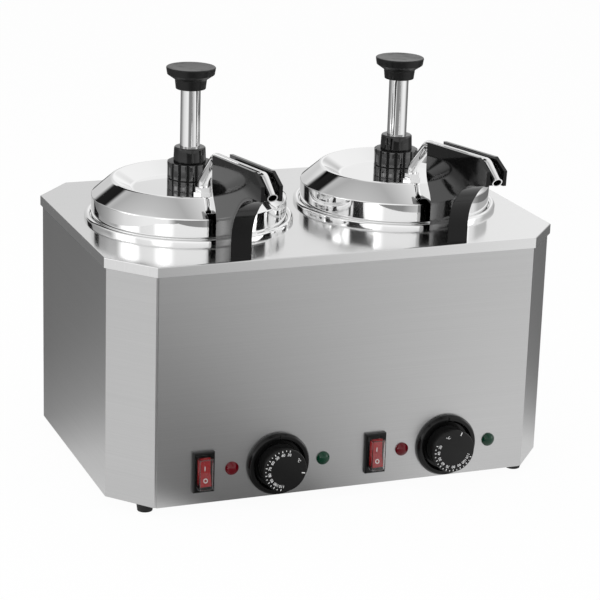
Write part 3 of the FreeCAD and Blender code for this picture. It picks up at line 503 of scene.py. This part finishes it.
mouldedLooks = {
    "glossBlack": {**blackSkin, "roughness": (0.05, 0.1), "specular": 0.6, "bump": 0.004},
    "housingBlack": {**blackSkin, "roughness": (0.12, 0.2), "specular": 0.28, "bump": 0.005},
    "satinBlack": {
        "size": 1800.0, "colour": grey(0.006), "dust": grey(0.014), "dustShare": 0.5,
        "roughness": (0.28, 0.38), "specular": 0.25, "bump": 0.15,
    },
    "coatBlack": {
        "size": 1200.0, "colour": grey(0.003), "dust": grey(0.006), "dustShare": 0.4,
        "roughness": (0.05, 0.1), "specular": 0.26, "bump": 0.01,
    },
    "rubberBlack": {
        "size": 1500.0, "colour": grey(0.010), "dust": grey(0.03), "dustShare": 0.6,
        "roughness": (0.6, 0.75), "specular": 0.3, "bump": 0.3,
    },
    "paleSeal": {
        "size": 1500.0, "colour": (0.7, 0.68, 0.62, 1), "dust": (0.6, 0.57, 0.5, 1), "dustShare": 0.6,
        "roughness": (0.5, 0.65), "bump": 0.2,
    },
    "wireCover": {
        "size": 1500.0, "colour": (0.3, 0.1, 0.05, 1), "dust": (0.2, 0.07, 0.04, 1), "dustShare": 0.6,
        "roughness": (0.4, 0.55), "bump": 0.1,
    },
    "heaterMica": {
        "size": 700.0, "colour": (0.30, 0.27, 0.22, 1), "dust": (0.5, 0.46, 0.38, 1), "dustShare": 0.9,
        "roughness": (0.4, 0.6), "metallic": 0.5, "bump": 0.3,
    },
    "glassFibre": {
        "size": 500.0, "colour": (0.85, 0.83, 0.76, 1), "dust": (0.7, 0.66, 0.55, 1), "dustShare": 0.9,
        "roughness": (0.8, 0.95), "bump": 0.9,
    },
    "markWhite": {
        "size": 2000.0, "colour": grey(0.8), "dust": grey(0.7), "dustShare": 0.6,
        "roughness": (0.5, 0.6), "bump": 0.05,
    },
}
ribbedLooks = {
    "ribbedBlack": {
        **blackSkin, "roughness": (0.1, 0.18), "specular": 0.15, "bump": 0.0,
        "coatRoughness": 0.05, "coatIor": 1.9,
    },
}
lensBody = {
    "size": 400.0, "deepShare": 0.8, "clear": 0.1, "coatRoughness": 0.05, "specular": 0.3, "bump": 0.08,
}
lensLooks = {
    "rockerRed": {
        **lensBody, "colour": (0.26, 0.002, 0.004, 1), "deep": (0.12, 0.001, 0.003, 1), "roughness": 0.12,
        "coat": 0.2, "glow": (1.0, 0.02, 0.025, 1), "glowStrength": 0.1,
    },
    "lampRed": {
        **lensBody, "colour": (0.09, 0.001, 0.005, 1), "deep": (0.03, 0.0005, 0.003, 1), "roughness": 0.1,
        "coat": 0.1, "glow": (0.6, 0.0, 0.02, 1), "glowStrength": 0.05,
    },
    "lampGreen": {
        **lensBody, "colour": (0.0005, 0.035, 0.016, 1), "deep": (0.0005, 0.015, 0.008, 1), "roughness": 0.1,
        "coat": 0.1, "glow": (0.0, 0.3, 0.12, 1), "glowStrength": 0.02,
    },
}
clearLooks = {
    "clearCover": {"size": 200.0, "clean": 0.02, "smudged": 0.08, "colour": grey(0.97), "ior": 1.46},
}
finishKinds = (
    (brushedSteel, steelLooks), (polishedSteel, mirrorLooks), (moulded, mouldedLooks),
    (ribbedPlastic, ribbedLooks), (lens, lensLooks), (clearPlastic, clearLooks),
)
finishes = {name: make(name, look) for make, looks in finishKinds for name, look in looks.items()}
print("finishes ready:", len(finishes))

# Surfaces from formulas


# Each row as long as 1
def unit(vectors):
    return vectors / np.linalg.norm(vectors, axis=1)[:, None]


# Each row turned a quarter anticlockwise
def quarterTurn(vectors):
    return np.stack([-vectors[:, 1], vectors[:, 0]], -1)


# An outline's points in anticlockwise order, told by the sign of its area
def anticlockwise(outline):
    outline = np.asarray(outline, float)
    x, y = outline.T
    return outline[::-1] if np.sum(x * np.roll(y, -1) - np.roll(x, -1) * y) < 0 else outline


# A closed outline: straight between its corners, each corner an arc of its own radius.
# A corner's arc starts radius * tan(half the turn) before it, and its points follow the
# circle about the centre on the corner's bisector
def roundedOutline(corners, radii, steps, closed=True, tiny=1e-9):
    corners = np.asarray(corners, float)
    radii = np.asarray(radii, float)
    back = unit(np.roll(corners, 1, axis=0) - corners)
    ahead = unit(np.roll(corners, -1, axis=0) - corners)
    inner = np.arccos(np.clip((back * ahead).sum(1), -1, 1))
    turn = np.pi - inner
    setback = radii * np.tan(turn / 2)
    bisector = back + ahead
    length = np.linalg.norm(bisector, axis=1)
    bisector /= np.where(length > tiny, length, 1)[:, None]
    centre = corners + bisector * (radii / np.maximum(np.sin(inner / 2), tiny))[:, None]
    share = np.linspace(0, 1, steps + 1)[:, None]
    ends = () if closed else (0, len(corners) - 1)
    points = []
    for index, corner in enumerate(corners):
        if radii[index] <= 0 or index in ends:
            points.append(corner[None])
            continue
        start = corner + back[index] * setback[index] - centre[index]
        end = corner + ahead[index] * setback[index] - centre[index]
        bend = turn[index]
        arc = (np.sin((1 - share) * bend) * start + np.sin(share * bend) * end) / np.sin(bend)
        points.append(centre[index] + arc)
    return np.vstack(points)


# Faces of a grid of rows by columns, joined round in both directions where asked
def gridFaces(rows, columns, closeRows, closeColumns):
    row = np.arange(rows if closeRows else rows - 1)
    column = np.arange(columns if closeColumns else columns - 1)
    row, column = np.meshgrid(row, column, indexing="ij")
    nextRow = (row + 1) % rows
    nextColumn = (column + 1) % columns
    corners = [row * columns + column, nextRow * columns + column]
    corners += [nextRow * columns + nextColumn, row * columns + nextColumn]
    return np.stack(corners, -1).reshape(-1, 4)


# A surface of revolution: point = centre + radius * (cos angle, sin angle) across + height * axis.
# A change of radius with the angle cuts flutes into it
def latheSurface(outline, centre, axis, segments, shrink=None):
    outline = anticlockwise(outline)
    angle = np.linspace(0, 2 * np.pi, segments, endpoint=False)[:, None]
    radius = np.broadcast_to(outline[:, 0], (segments, len(outline))).copy()
    height = np.broadcast_to(outline[:, 1], radius.shape)
    if shrink is not None:
        radius = radius - shrink(angle, radius)
    across = radius * np.cos(angle)
    along = radius * np.sin(angle)
    order = [across, along, height] if axis == "up" else [across, -height, along]
    points = np.stack(order, -1) + np.asarray(centre, float)
    return points.reshape(-1, 3), gridFaces(segments, len(outline), True, True)


def newObject(name, points, faces, material):
    mesh = bpy.data.meshes.new(name)
    faces = faces if isinstance(faces, list) else faces.tolist()
    mesh.from_pydata(np.asarray(points).tolist(), [], faces)
    mesh.materials.append(finishes[material])
    return addObject(name, mesh)


def pointsOf(mesh):
    flat = np.empty(3 * len(mesh.vertices))
    mesh.vertices.foreach_get("co", flat)
    return flat.reshape(-1, 3)


def smooth(piece, sharpAngle):
    piece.data.polygons.foreach_set("use_smooth", np.ones(len(piece.data.polygons), bool))
    piece.data.set_sharp_from_angle(angle=math.radians(sharpAngle))


# Close points become one, faces without area vanish, and edges past the angle stay sharp
def finishMesh(piece, sharpAngle=32, distance=2e-7):
    work = bmesh.new()
    work.from_mesh(piece.data)
    bmesh.ops.remove_doubles(work, verts=work.verts, dist=distance)
    bmesh.ops.dissolve_degenerate(work, edges=work.edges, dist=distance)
    work.to_mesh(piece.data)
    work.free()
    smooth(piece, sharpAngle)


def dress(piece, body, slot, *nodes):
    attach(piece, body)
    if nodes:
        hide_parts(*nodes)


# An outline's corners: pairs of radius and height, each a number or the name of one in the look
def cornersOf(look, *pairs):
    return [[look.get(value, value) for value in pair] for pair in pairs]


def turned(name, corners, rounds, centre, material, axis="up", segments=192, steps=6, shrink=None, sharp=32):
    outline = roundedOutline(np.array(corners) * mm, np.array(rounds) * mm, steps)
    piece = newObject(name, *latheSurface(outline, centre, axis, segments, shrink), material)
    finishMesh(piece, sharp)
    return piece


# The closed outline of a thin sheet: its visible line, and the same line one thickness behind it
def sheetOutline(corners, rounds, thickness):
    line = np.asarray(corners, float)
    heading = unit(np.diff(line, axis=0))
    side = quarterTurn(heading)
    first, second = side[:-1], side[1:]
    middle = (first + second) / (1 + (first * second).sum(1))[:, None]
    behind = line + np.vstack([side[:1], middle, side[-1:]]) * thickness
    turn = np.cross(heading[:-1], heading[1:]) * np.sign(thickness)
    inner = np.asarray(rounds, float)
    other = np.where(turn > 0, np.maximum(inner - abs(thickness), 0), inner + abs(thickness))
    return np.vstack([line, behind[::-1]]), np.concatenate([[0], inner, [0, 0], other[::-1], [0]])


def turnedSheet(name, corners, rounds, thickness, centre, material):
    outline, outlineRounds = sheetOutline(corners, rounds, thickness)
    return turned(name, outline, outlineRounds, centre, material, segments=256, steps=8)


# A hollow round bar: circles set square to a flat path in the YZ plane, out along the path on the
# outer radius and back on the bore
def pipe(name, path, x, radius, bore, material, sides=48, sharp=40):
    side = quarterTurn(unit(np.gradient(path, axis=0)))
    radii = np.repeat([radius, bore], len(path))[:, None]
    path = np.vstack([path, path[::-1]])
    side = np.vstack([side, side[::-1]])
    angle = np.linspace(0, 2 * np.pi, sides, endpoint=False)
    lift = radii * np.sin(angle)
    points = np.empty((len(path), sides, 3))
    points[..., 0] = x + radii * np.cos(angle)
    points[..., 1:] = path[:, None] + lift[..., None] * side[:, None]
    piece = newObject(name, points.reshape(-1, 3), gridFaces(len(path), sides, True, True), material)
    finishMesh(piece, sharp)
    return piece


# A wire wound about an upright axis: its centre line is (radius cos, radius sin, climb) and each
# ring lies across it, on the outward direction and the one at right angles to that and the line
def coil(name, centre, low, high, look, material):
    turn = np.linspace(0, 2 * np.pi * look["turns"], look["turns"] * look["steps"] + 1)[:, None]
    wire, radius = look["wire"] * mm, look["radius"] * mm
    climb = (high - low) / turn[-1, 0]
    zero = np.zeros_like(turn)
    outward = np.hstack([np.cos(turn), np.sin(turn), zero])
    heading = unit(np.hstack([-radius * np.sin(turn), radius * np.cos(turn), zero + climb]))
    upward = np.cross(outward, heading)
    line = outward * radius + np.hstack([zero + centre[0], zero + centre[1], low + climb * turn])
    ring = np.linspace(0, 2 * np.pi, look["sides"], endpoint=False)[None, :, None]
    points = line[:, None] + wire * (np.cos(ring) * outward[:, None] + np.sin(ring) * upward[:, None])
    faces = gridFaces(len(turn), look["sides"], False, True).tolist()
    cap = np.arange(look["sides"])
    faces += [cap.tolist(), (cap + (len(turn) - 1) * look["sides"])[::-1].tolist()]
    return newObject(name, points.reshape(-1, 3), faces, material)


# A flat outline in the YZ plane carried along X
def crosswise(name, outline, xLow, xHigh, material):
    outline = anticlockwise(outline)
    count = len(outline)
    low, high = (np.column_stack([np.full(count, x), outline]) for x in (xLow, xHigh))
    index = np.arange(count)
    following = (index + 1) % count
    walls = np.stack([index, following, following + count, index + count], -1).tolist()
    faces = walls + [index[::-1].tolist(), (index + count).tolist()]
    return newObject(name, np.vstack([low, high]), faces, material)


def softenEdges(piece, width, angle):
    bevel = piece.modifiers.new("softEdges", "BEVEL")
    bevel.width = width
    bevel.segments = 2
    bevel.limit_method = "ANGLE"
    bevel.angle_limit = math.radians(angle)
    bevel.harden_normals = True
    smooth(piece, angle)


# A node with flat walls, its loose triangles joined into whole faces and its edges softened
def softCopy(node, material, edge, body, slot, angle=30, distance=1e-6, flatWithin=0.5):
    work = bmesh.new()
    work.from_mesh(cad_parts[node].data)
    bmesh.ops.remove_doubles(work, verts=work.verts, dist=distance)
    limit = math.radians(flatWithin)
    bmesh.ops.dissolve_limit(work, angle_limit=limit, verts=work.verts, edges=work.edges)
    piece = newObject(node + "_soft", [], [], material)
    work.to_mesh(piece.data)
    work.free()
    softenEdges(piece, edge * mm, angle)
    dress(piece, body, slot, node)


print("shape tools ready")

# Sheet metal that is turned: millimetres from the unit's axis and above the top plate
wellLook = {
    "rim": 100.6, "band": 6.0, "height": 5.0,
    "ledge": 1.0, "wall": 84.0, "floor": -182.0, "corner": 10.0,
    "sheet": 1.0,
    "edgeFlat": 0.01,  # left of the band's width between its two round edges, on each side
}
jarLook = {"rim": 93.4, "wall": 79.0, "top": 2.0, "floor": -169.0, "corner": 14.0, "sheet": 1.0}
lidLook = {
    "skirt": 93.9, "skirtLow": 2.0, "skirtTop": 22.6,
    "crown": 74.5, "crownTop": 39.8,
    "dish": 55.0, "dishFloor": 29.0, "hole": 13.3,
    "rounds": (2.0, 4.0, 8.0), "sheet": 1.0,
}


def makeWell(side, look):
    inner = look["rim"] - look["band"]
    edge = look["band"] / 2 - look["edgeFlat"]
    corners = cornersOf(
        look, ("rim", 0), ("rim", "height"), (inner, "height"), (inner, "ledge"),
        ("wall", "ledge"), ("wall", "floor"), (0, "floor"),
    )
    rounds = [edge, edge, 0, look["sheet"], look["corner"]]
    piece = turnedSheet("wellPan_" + side, corners, rounds, look["sheet"], onUnit(side), "lidSteel")
    dress(piece, "cabinet", "polished_steel", "well_" + side)


def makeJar(side, look):
    corners = cornersOf(look, ("rim", "top"), ("wall", "top"), ("wall", "floor"), (0, "floor"))
    rounds = [look["sheet"], look["corner"]]
    piece = turnedSheet("jarShell_" + side, corners, rounds, look["sheet"], onUnit(side), "jarSteel")
    dress(piece, "jar_" + side, "satin_steel", "jar_" + side)


def makeLid(side, look):
    corners = cornersOf(
        look, ("skirt", "skirtLow"), ("skirt", "skirtTop"), ("crown", "crownTop"),
        ("dish", "dishFloor"), ("hole", "dishFloor"),
    )
    piece = turnedSheet("lidShell_" + side, corners, look["rounds"], look["sheet"], onUnit(side), "lidSteel")
    dress(piece, "lid_" + side, "polished_steel", "lid_" + side)


for side in sides:
    makeWell(side, wellLook)
    makeJar(side, jarLook)
    makeLid(side, lidLook)
print("wells, jars and lids made")

# The pump above the lid, its radii and heights as for the lid
nutLook = {
    "bore": 13.05, "radius": 21.5, "low": 29.0, "high": 55.5,
    "bandTop": 39.0, "grooveTop": 40.2, "waist": 20.3,
    "edge": 0.8, "edgeSteps": 4, "sharp": 35,
    "flutes": 16, "fluteRadius": 2.0, "fluteDepth": 1.1, "fluteSteps": 20,
    "wallFrom": 18.27,  # the flutes leave all that lies within this radius alone
    "shineBand": 0.3,
}
collarLook = {
    "bore": 9.55, "spigot": 13.0, "low": 52.1, "seat": 55.5, "radius": 15.7, "top": 15.0, "high": 69.9,
    "rounds": (0, 0, 0, 0.5, 1.6, 0.2),
}
plungerLook = {
    "radius": 9.5, "bore": 8.3, "low": -6.0, "high": 135.0,
    "bead": 10.9, "beadLow": 49.8, "beadTop": 51.8,
}
knobLook = {
    "socket": 9.5, "socketTop": 135.0, "low": 126.0, "foot": 14.3, "waist": 15.3, "waistTop": 135.0,
    "under": 22.6, "rimLow": 140.0, "radius": 23.8, "high": 147.0, "land": 21.0, "dish": 1.0,
    "rounds": (0, 0, 0.3, 0.6, 2.0, 1.0, 1.0, 1.5, 0),
}


def makeNut(side, look):
    pitch = 2 * np.pi / look["flutes"]
    fluteRadius = look["fluteRadius"] * mm
    centre = (look["radius"] + look["fluteRadius"] - look["fluteDepth"]) * mm

    # A flute is a circle about a point outside the nut: where a spoke meets it, the surface steps in to it
    def flute(angle, radius):
        off = (angle + pitch / 2) % pitch - pitch / 2
        away = centre * np.sin(off)
        reach = centre * np.cos(off) - np.sqrt(np.maximum(fluteRadius**2 - away**2, 0))
        inside = (np.abs(away) < fluteRadius) & (radius > look["wallFrom"] * mm)
        return np.where(inside, np.maximum(radius - reach, 0), 0)

    edge = look["edge"]
    corners = cornersOf(
        look, ("bore", "low"), ("radius", "low"), ("radius", "bandTop"), ("waist", "bandTop"),
        ("waist", "grooveTop"), ("radius", "grooveTop"), ("radius", "high"), ("bore", "high"),
    )
    rounds = [0, edge, edge / 2, 0, 0, edge / 2, edge, 0]
    detail = {"steps": look["edgeSteps"], "shrink": flute, "sharp": look["sharp"]}
    detail["segments"] = look["flutes"] * look["fluteSteps"]
    piece = turned("pumpNut_" + side, corners, rounds, onUnit(side), "ribbedBlack", **detail)
    # The shine rises from 0 to 1 over the shine band, which ends half an edge short of the full radius
    points = pointsOf(piece.data)
    radius = np.hypot(points[:, 0] - unitX[side], points[:, 1] - cabinet["middleY"]) / mm
    shine = np.clip(1 + (radius - look["radius"] + edge / 2) / look["shineBand"], 0, 1)
    piece.data.attributes.new("shine", "FLOAT", "POINT").data.foreach_set("value", shine.astype(np.float32))
    dress(piece, "lid_" + side, "gloss_black", "pump_nut_" + side)


def makeCollar(side, look):
    corners = cornersOf(
        look, ("bore", "low"), ("spigot", "low"), ("spigot", "seat"), ("radius", "seat"),
        ("top", "high"), ("bore", "high"),
    )
    piece = turned("pumpCollar_" + side, corners, look["rounds"], onUnit(side), "glossBlack")
    dress(piece, "lid_" + side, "gloss_black", "pump_collar_" + side)


def makePlunger(side, look):
    corners = cornersOf(
        look, ("bore", "low"), ("radius", "low"), ("radius", "beadLow"), ("bead", "beadLow"),
        ("bead", "beadTop"), ("radius", "beadTop"), ("radius", "high"), ("bore", "high"),
    )
    piece = turned("plungerTube_" + side, corners, [0] * len(corners), onUnit(side), "brightTube")
    dress(piece, "plunger_" + side, "bright_tube", "plunger_tube_" + side)


def makeKnob(side, look):
    corners = cornersOf(
        look, (0, "socketTop"), ("socket", "socketTop"), ("socket", "low"), ("foot", "low"),
        ("waist", "waistTop"), ("under", "rimLow"), ("radius", "high"), ("land", "high"),
        (0, look["high"] - look["dish"]),
    )
    piece = turned("plungerKnob_" + side, corners, look["rounds"], onUnit(side), "satinBlack")
    dress(piece, "plunger_" + side, "satin_black", "plunger_knob_" + side)


for side in sides:
    makeNut(side, nutLook)
    makeCollar(side, collarLook)
    makePlunger(side, plungerLook)
    makeKnob(side, knobLook)
print("pumps made")

# The tube, the arm under its channel and the spring: millimetres, with places as the reach forward of
# the unit's axis and the height above the top plate
tubeLook = {
    "route": [(41.0, 35.0), (41.0, 46.0), (76.0, 76.69), (206.0, 90.0), (228.0, 77.0)],
    "bend": 12.0, "bendSteps": 16,
    "radius": 4.75, "bore": 3.75,
}
armLook = {
    "line": [(124.5, -1.2), (148.5, -1.2), (148.5, 34.0), (181.0, 69.23), (205.0, 71.26)],
    "bends": [0.4, 45.0, 60.0], "bendSteps": 20,
    "sheet": 3.0, "width": 20.0,
    "edge": 0.35, "edgeFrom": 40,  # only edges sharper than this many degrees are softened
}
springLook = {"turns": 9, "steps": 36, "sides": 12, "wire": 0.8, "travel": 42.0}


# Reach and height become Y and Z in the frame, metres
def placed(points):
    points = np.asarray(points, float) * mm
    return np.column_stack([cabinet["middleY"] - points[:, 0], cabinet["deck"] + points[:, 1]])


def makeTube(side, look):
    route = placed(look["route"])
    rounds = [0] + [look["bend"] * mm] * (len(route) - 2) + [0]
    path = roundedOutline(route, rounds, look["bendSteps"], closed=False)
    radius, bore = look["radius"] * mm, look["bore"] * mm
    piece = pipe("dischargeTube_" + side, path, unitX[side], radius, bore, "brightTube")
    dress(piece, "lid_" + side, "bright_tube", "discharge_tube_" + side)


def makeArm(side, look):
    corners, rounds = sheetOutline(look["line"], look["bends"], -look["sheet"])
    outline = roundedOutline(placed(corners), rounds * mm, look["bendSteps"])
    half = look["width"] / 2 * mm
    low, high = unitX[side] - half, unitX[side] + half
    piece = crosswise("spoutArm_" + side, outline, low, high, "coatBlack")
    softenEdges(piece, look["edge"] * mm, look["edgeFrom"])
    dress(piece, "cabinet", "black_coat", "spout_arm_" + side)


# The spring sits on its lower end, one wire's thickness in from each end of the frame's spring
def makeSpring(side, look):
    node = "plunger_spring_" + side
    low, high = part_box(node)
    wire = look["wire"] * mm
    values = dict(look, radius=(high.x - low.x) / 2 / mm - look["wire"])
    piece = coil("plungerSpring_" + side, onUnit(side), low.z + wire, high.z - wire, values, "zincSteel")
    finishMesh(piece)
    dress(piece, "lid_" + side, "spring_steel", node)
    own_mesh(piece)


for side in sides:
    makeSpring(side, springLook)
    makeTube(side, tubeLook)
    makeArm(side, armLook)
    softCopy("spout_channel_" + side, "coatBlack", 0.5, "cabinet", "black_coat")
    softCopy("tube_union_" + side, "lidSteel", 0.4, "lid_" + side, "polished_steel")
print("spouts made")

# Controls on the front panel: millimetres from the dial's axis and proud of the panel
bezelLook = {
    "hole": 5.6, "radius": 30.5, "shoulder": 3.0, "height": 6.0, "top": 28.9,
    "inner": 25.4, "floorRadius": 23.6, "floor": 1.6,
    "rounds": (0, 0.2, 1.5, 1.2, 0.6, 0.8, 0), "roundSteps": 5, "segments": 960,
    "notchWidth": 2.0, "notchDepth": 1.4,
}
dialLook = {
    "spindle": 4.0, "spindleEnd": -14.0, "base": 2.1, "baseRadius": 20.2, "face": 21.2, "proud": 21.0,
    "rounds": (0, 0.3, 0, 0.4, 0.9, 0), "segments": 256,
    "offMark": {"left": -12.5, "right": 68.0},  # degrees anticlockwise from the right, seen from the front
    "scaleStart": 90.0, "scaleStep": 22.5,  # degrees from the off mark, and from number to number
    "numbers": range(30, 120, 10), "numberRadius": 15.6, "numberHeight": 2.7,
    "unit": "°C", "unitMark": 47.0,
    "fontScale": 1.4, "boldness": 0.012,  # times the height of a number
    "tickInner": 18.2, "tickOuter": 20.1, "tickWidth": 0.7, "halfTickShort": 0.7,
    "offInner": 16.6, "offWidth": 0.9,
    "inkHeight": 0.05,
}
lampLook = {
    "radius": 6.5, "rim": 1.0, "dome": 3.6, "domeSteps": 14, "segments": 96,
    "body": 5.0, "depth": -16.0,
    "finish": {"red": "lampRed", "green": "lampGreen"},
    "offset": {"red": -45.6, "green": 45.5},
}
rockerLook = {
    "marks": {"on": 4.6, "off": -6.6},  # heights from the rocker's middle
    "size": 4.4, "line": 0.9, "ink": 0.12, "sides": 32,
    "hornFrom": 9.0, "valleyWithin": 1.0,
}


# The notch is a slot across the top of the bezel's rim: points in it sink by its depth
def makeBezel(side, look):
    corners = cornersOf(
        look, ("hole", 0), ("radius", 0), ("radius", "shoulder"), ("top", "height"),
        ("inner", "height"), ("floorRadius", "floor"), ("hole", "floor"),
    )
    detail = {"segments": look["segments"], "steps": look["roundSteps"]}
    place = onPanel(dialX[side])
    piece = turned("dialBezel_" + side, corners, look["rounds"], place, "housingBlack", "front", **detail)
    points = pointsOf(piece.data)
    across = np.abs(points[:, 0] - dialX[side]) < look["notchWidth"] / 2 * mm
    above = points[:, 2] > cabinet["control"] + look["floorRadius"] * mm
    limit = cabinet["front"] - (look["height"] - look["notchDepth"]) * mm
    points[:, 1] = np.where(across & above, np.maximum(points[:, 1], limit), points[:, 1])
    piece.data.vertices.foreach_set("co", points.ravel())
    piece.data.update()
    dress(piece, "cabinet", "gloss_black", "dial_bezel_" + side)


# Turns flat points, which are rows, anticlockwise by an angle in degrees
def spin(angle):
    turn = math.radians(angle)
    return np.array([(math.cos(turn), math.sin(turn)), (-math.sin(turn), math.cos(turn))])


# A flat rectangle between two radii, turned to an angle
def tick(inner, outer, width, angle):
    half = width / 2
    corners = np.array([(inner, -half), (outer, -half), (outer, half), (inner, half)])
    return corners @ spin(angle), [[0, 1, 2, 3]]


# A word as a flat mesh, its middle at a radius and its top outwards
def word(text, angle, look):
    curve = bpy.data.curves.new(text, "FONT")
    curve.body = text
    curve.size = look["numberHeight"] * look["fontScale"]
    curve.align_x = curve.align_y = "CENTER"
    curve.offset = look["numberHeight"] * look["boldness"]
    curve.resolution_u = 3
    holder = addObject(text, curve)
    bpy.context.view_layer.update()
    mesh = bpy.data.meshes.new_from_object(holder.evaluated_get(bpy.context.evaluated_depsgraph_get()))
    flat = pointsOf(mesh)[:, :2]
    faces = [list(face.vertices) for face in mesh.polygons]
    bpy.data.objects.remove(holder)
    bpy.data.curves.remove(curve)
    bpy.data.meshes.remove(mesh)
    return flat @ spin(angle - 90) + spin(angle)[0] * look["numberRadius"], faces


# Flat shapes gathered into one mesh on an upright plane
def inkPiece(name, shapes, x, y, z, material):
    points, faces = [], []
    for flat, flatFaces in shapes:
        start = sum(len(part) for part in points)
        faces += [[index + start for index in face] for face in flatFaces]
        points.append(flat)
    flat = np.vstack(points) * mm
    place = np.column_stack([x + flat[:, 0], np.full(len(flat), y), z + flat[:, 1]])
    return newObject(name, place, faces, material)


def makeDial(side, look):
    corners = cornersOf(
        look, (0, "spindleEnd"), ("spindle", "spindleEnd"), ("spindle", "base"),
        ("baseRadius", "base"), ("face", "proud"), (0, "proud"),
    )
    x, y, z = onPanel(dialX[side])
    name = "dialKnob_" + side
    piece = turned(name, corners, look["rounds"], (x, y, z), "satinBlack", "front", look["segments"])
    dress(piece, "dial_" + side, "satin_black", "dial_knob_" + side)
    off = look["offMark"][side]
    start = off + look["scaleStart"]
    shapes = [tick(look["offInner"], look["tickOuter"], look["offWidth"], off)]
    for step in range(2 * len(look["numbers"]) - 1):
        inner = look["tickInner"] + step % 2 * look["halfTickShort"]
        shapes.append(tick(inner, look["tickOuter"], look["tickWidth"], start + step * look["scaleStep"] / 2))
    for step, number in enumerate(look["numbers"]):
        shapes.append(word(str(number), start + step * look["scaleStep"], look))
    shapes.append(word(look["unit"], off + look["unitMark"], look))
    face = y - (look["proud"] + look["inkHeight"]) * mm
    marks = inkPiece("dialMarks_" + side, shapes, x, face, z, "markWhite")
    dress(marks, "dial_" + side, "satin_black")


# The lens is a cap of a ball: its radius follows from the lamp's radius and the dome's height
def makeLamp(side, colour, look):
    radius, dome = look["radius"], look["dome"]
    ball = (radius**2 + dome**2) / (2 * dome)
    share = np.linspace(0, math.asin(radius / ball), look["domeSteps"])[::-1]
    cap = [(ball * math.sin(angle), look["rim"] + dome - ball + ball * math.cos(angle)) for angle in share]
    corners = cornersOf(look, (0, "depth"), ("body", "depth"), ("body", 0), ("radius", 0)) + cap
    place = onPanel(dialX[side] + look["offset"][colour] * mm)
    material = look["finish"][colour]
    name = colour + "Lamp_" + side
    piece = turned(name, corners, [0] * len(corners), place, material, "front", look["segments"])
    dress(piece, "cabinet", colour + "_lens", colour + "_lamp_" + side)


# The face that a mark lies on goes through the foremost point of the rocker's valley and the
# foremost point at the outer end of its half
def makeRockerMarks(side, look):
    low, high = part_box("rocker_" + side)
    x, middle = (low.x + high.x) / 2, cabinet["control"]
    points = pointsOf(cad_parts["rocker_" + side].data)
    valley = points[np.abs(points[:, 2] - middle) < look["valleyWithin"] * mm]
    dip = valley[valley[:, 1].argmin()]
    outer, half = look["size"] / 2, look["line"] / 2
    angle = np.linspace(0, 2 * np.pi, look["sides"], endpoint=False)
    ring = np.column_stack([np.cos(angle), np.sin(angle)])
    ringFaces = gridFaces(2, look["sides"], False, True).tolist()
    shapes = {
        "on": (np.array([(-half, -outer), (half, -outer), (half, outer), (-half, outer)]), [[0, 1, 2, 3]]),
        "off": (np.vstack([ring * outer, ring * (outer - look["line"])]), ringFaces),
    }
    for mark, height in look["marks"].items():
        flat, faces = shapes[mark]
        flat = flat * mm + np.array([0, height * mm])
        away = (points[:, 2] - middle) * np.sign(height)
        end = points[away > look["hornFrom"] * mm]
        horn = end[end[:, 1].argmin()]
        slope = (horn[1] - dip[1]) / (horn[2] - dip[2])
        z = middle + flat[:, 1]
        y = slope * z + horn[1] - slope * horn[2] - look["ink"] * mm
        place = np.column_stack([x + flat[:, 0], y, z])
        piece = newObject(mark + "Mark_" + side, place, faces, "markWhite")
        dress(piece, "rocker_" + side, "red_rocker")


for side in sides:
    makeBezel(side, bezelLook)
    makeDial(side, dialLook)
    for colour in lampLook["offset"]:
        makeLamp(side, colour, lampLook)
    softCopy("switch_housing_" + side, "housingBlack", 0.4, "cabinet", "satin_black")
    softCopy("switch_cover_" + side, "clearCover", 0.2, "cabinet", "clear_cover", angle=50)
    softCopy("rocker_" + side, "rockerRed", 0.5, "rocker_" + side, "red_rocker")
    makeRockerMarks(side, rockerLook)
print("controls made")

# The other solids of the frame keep their shape and take their finish here
plainNodes = {
    "topSteel": ["top_plate"],
    "panelSteel": ["side_shell_left", "side_shell_right", "front_panel", "back_panel"],
    "zincSteel": ["bottom_plate", "foot_screws", "cabinet_fasteners", "thermostats"],
    "rubberBlack": ["rubber_feet"],
    "satinBlack": ["power_inlet", "terminal_block"],
    "wireCover": ["wiring"],
    "heaterMica": ["well_heaters"],
    "glassFibre": ["well_insulation"],
    "heaterMetal": ["spout_heaters"],
    "brightTube": [node + side for node in ("pump_cylinder_", "foot_valve_") for side in sides],
    "paleSeal": ["piston_seal_" + side for side in sides],
}
for material, nodes in plainNodes.items():
    for node in nodes:
        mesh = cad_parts[node].data
        mesh.materials.clear()
        mesh.materials.append(finishes[material])
print("frame solids dressed")
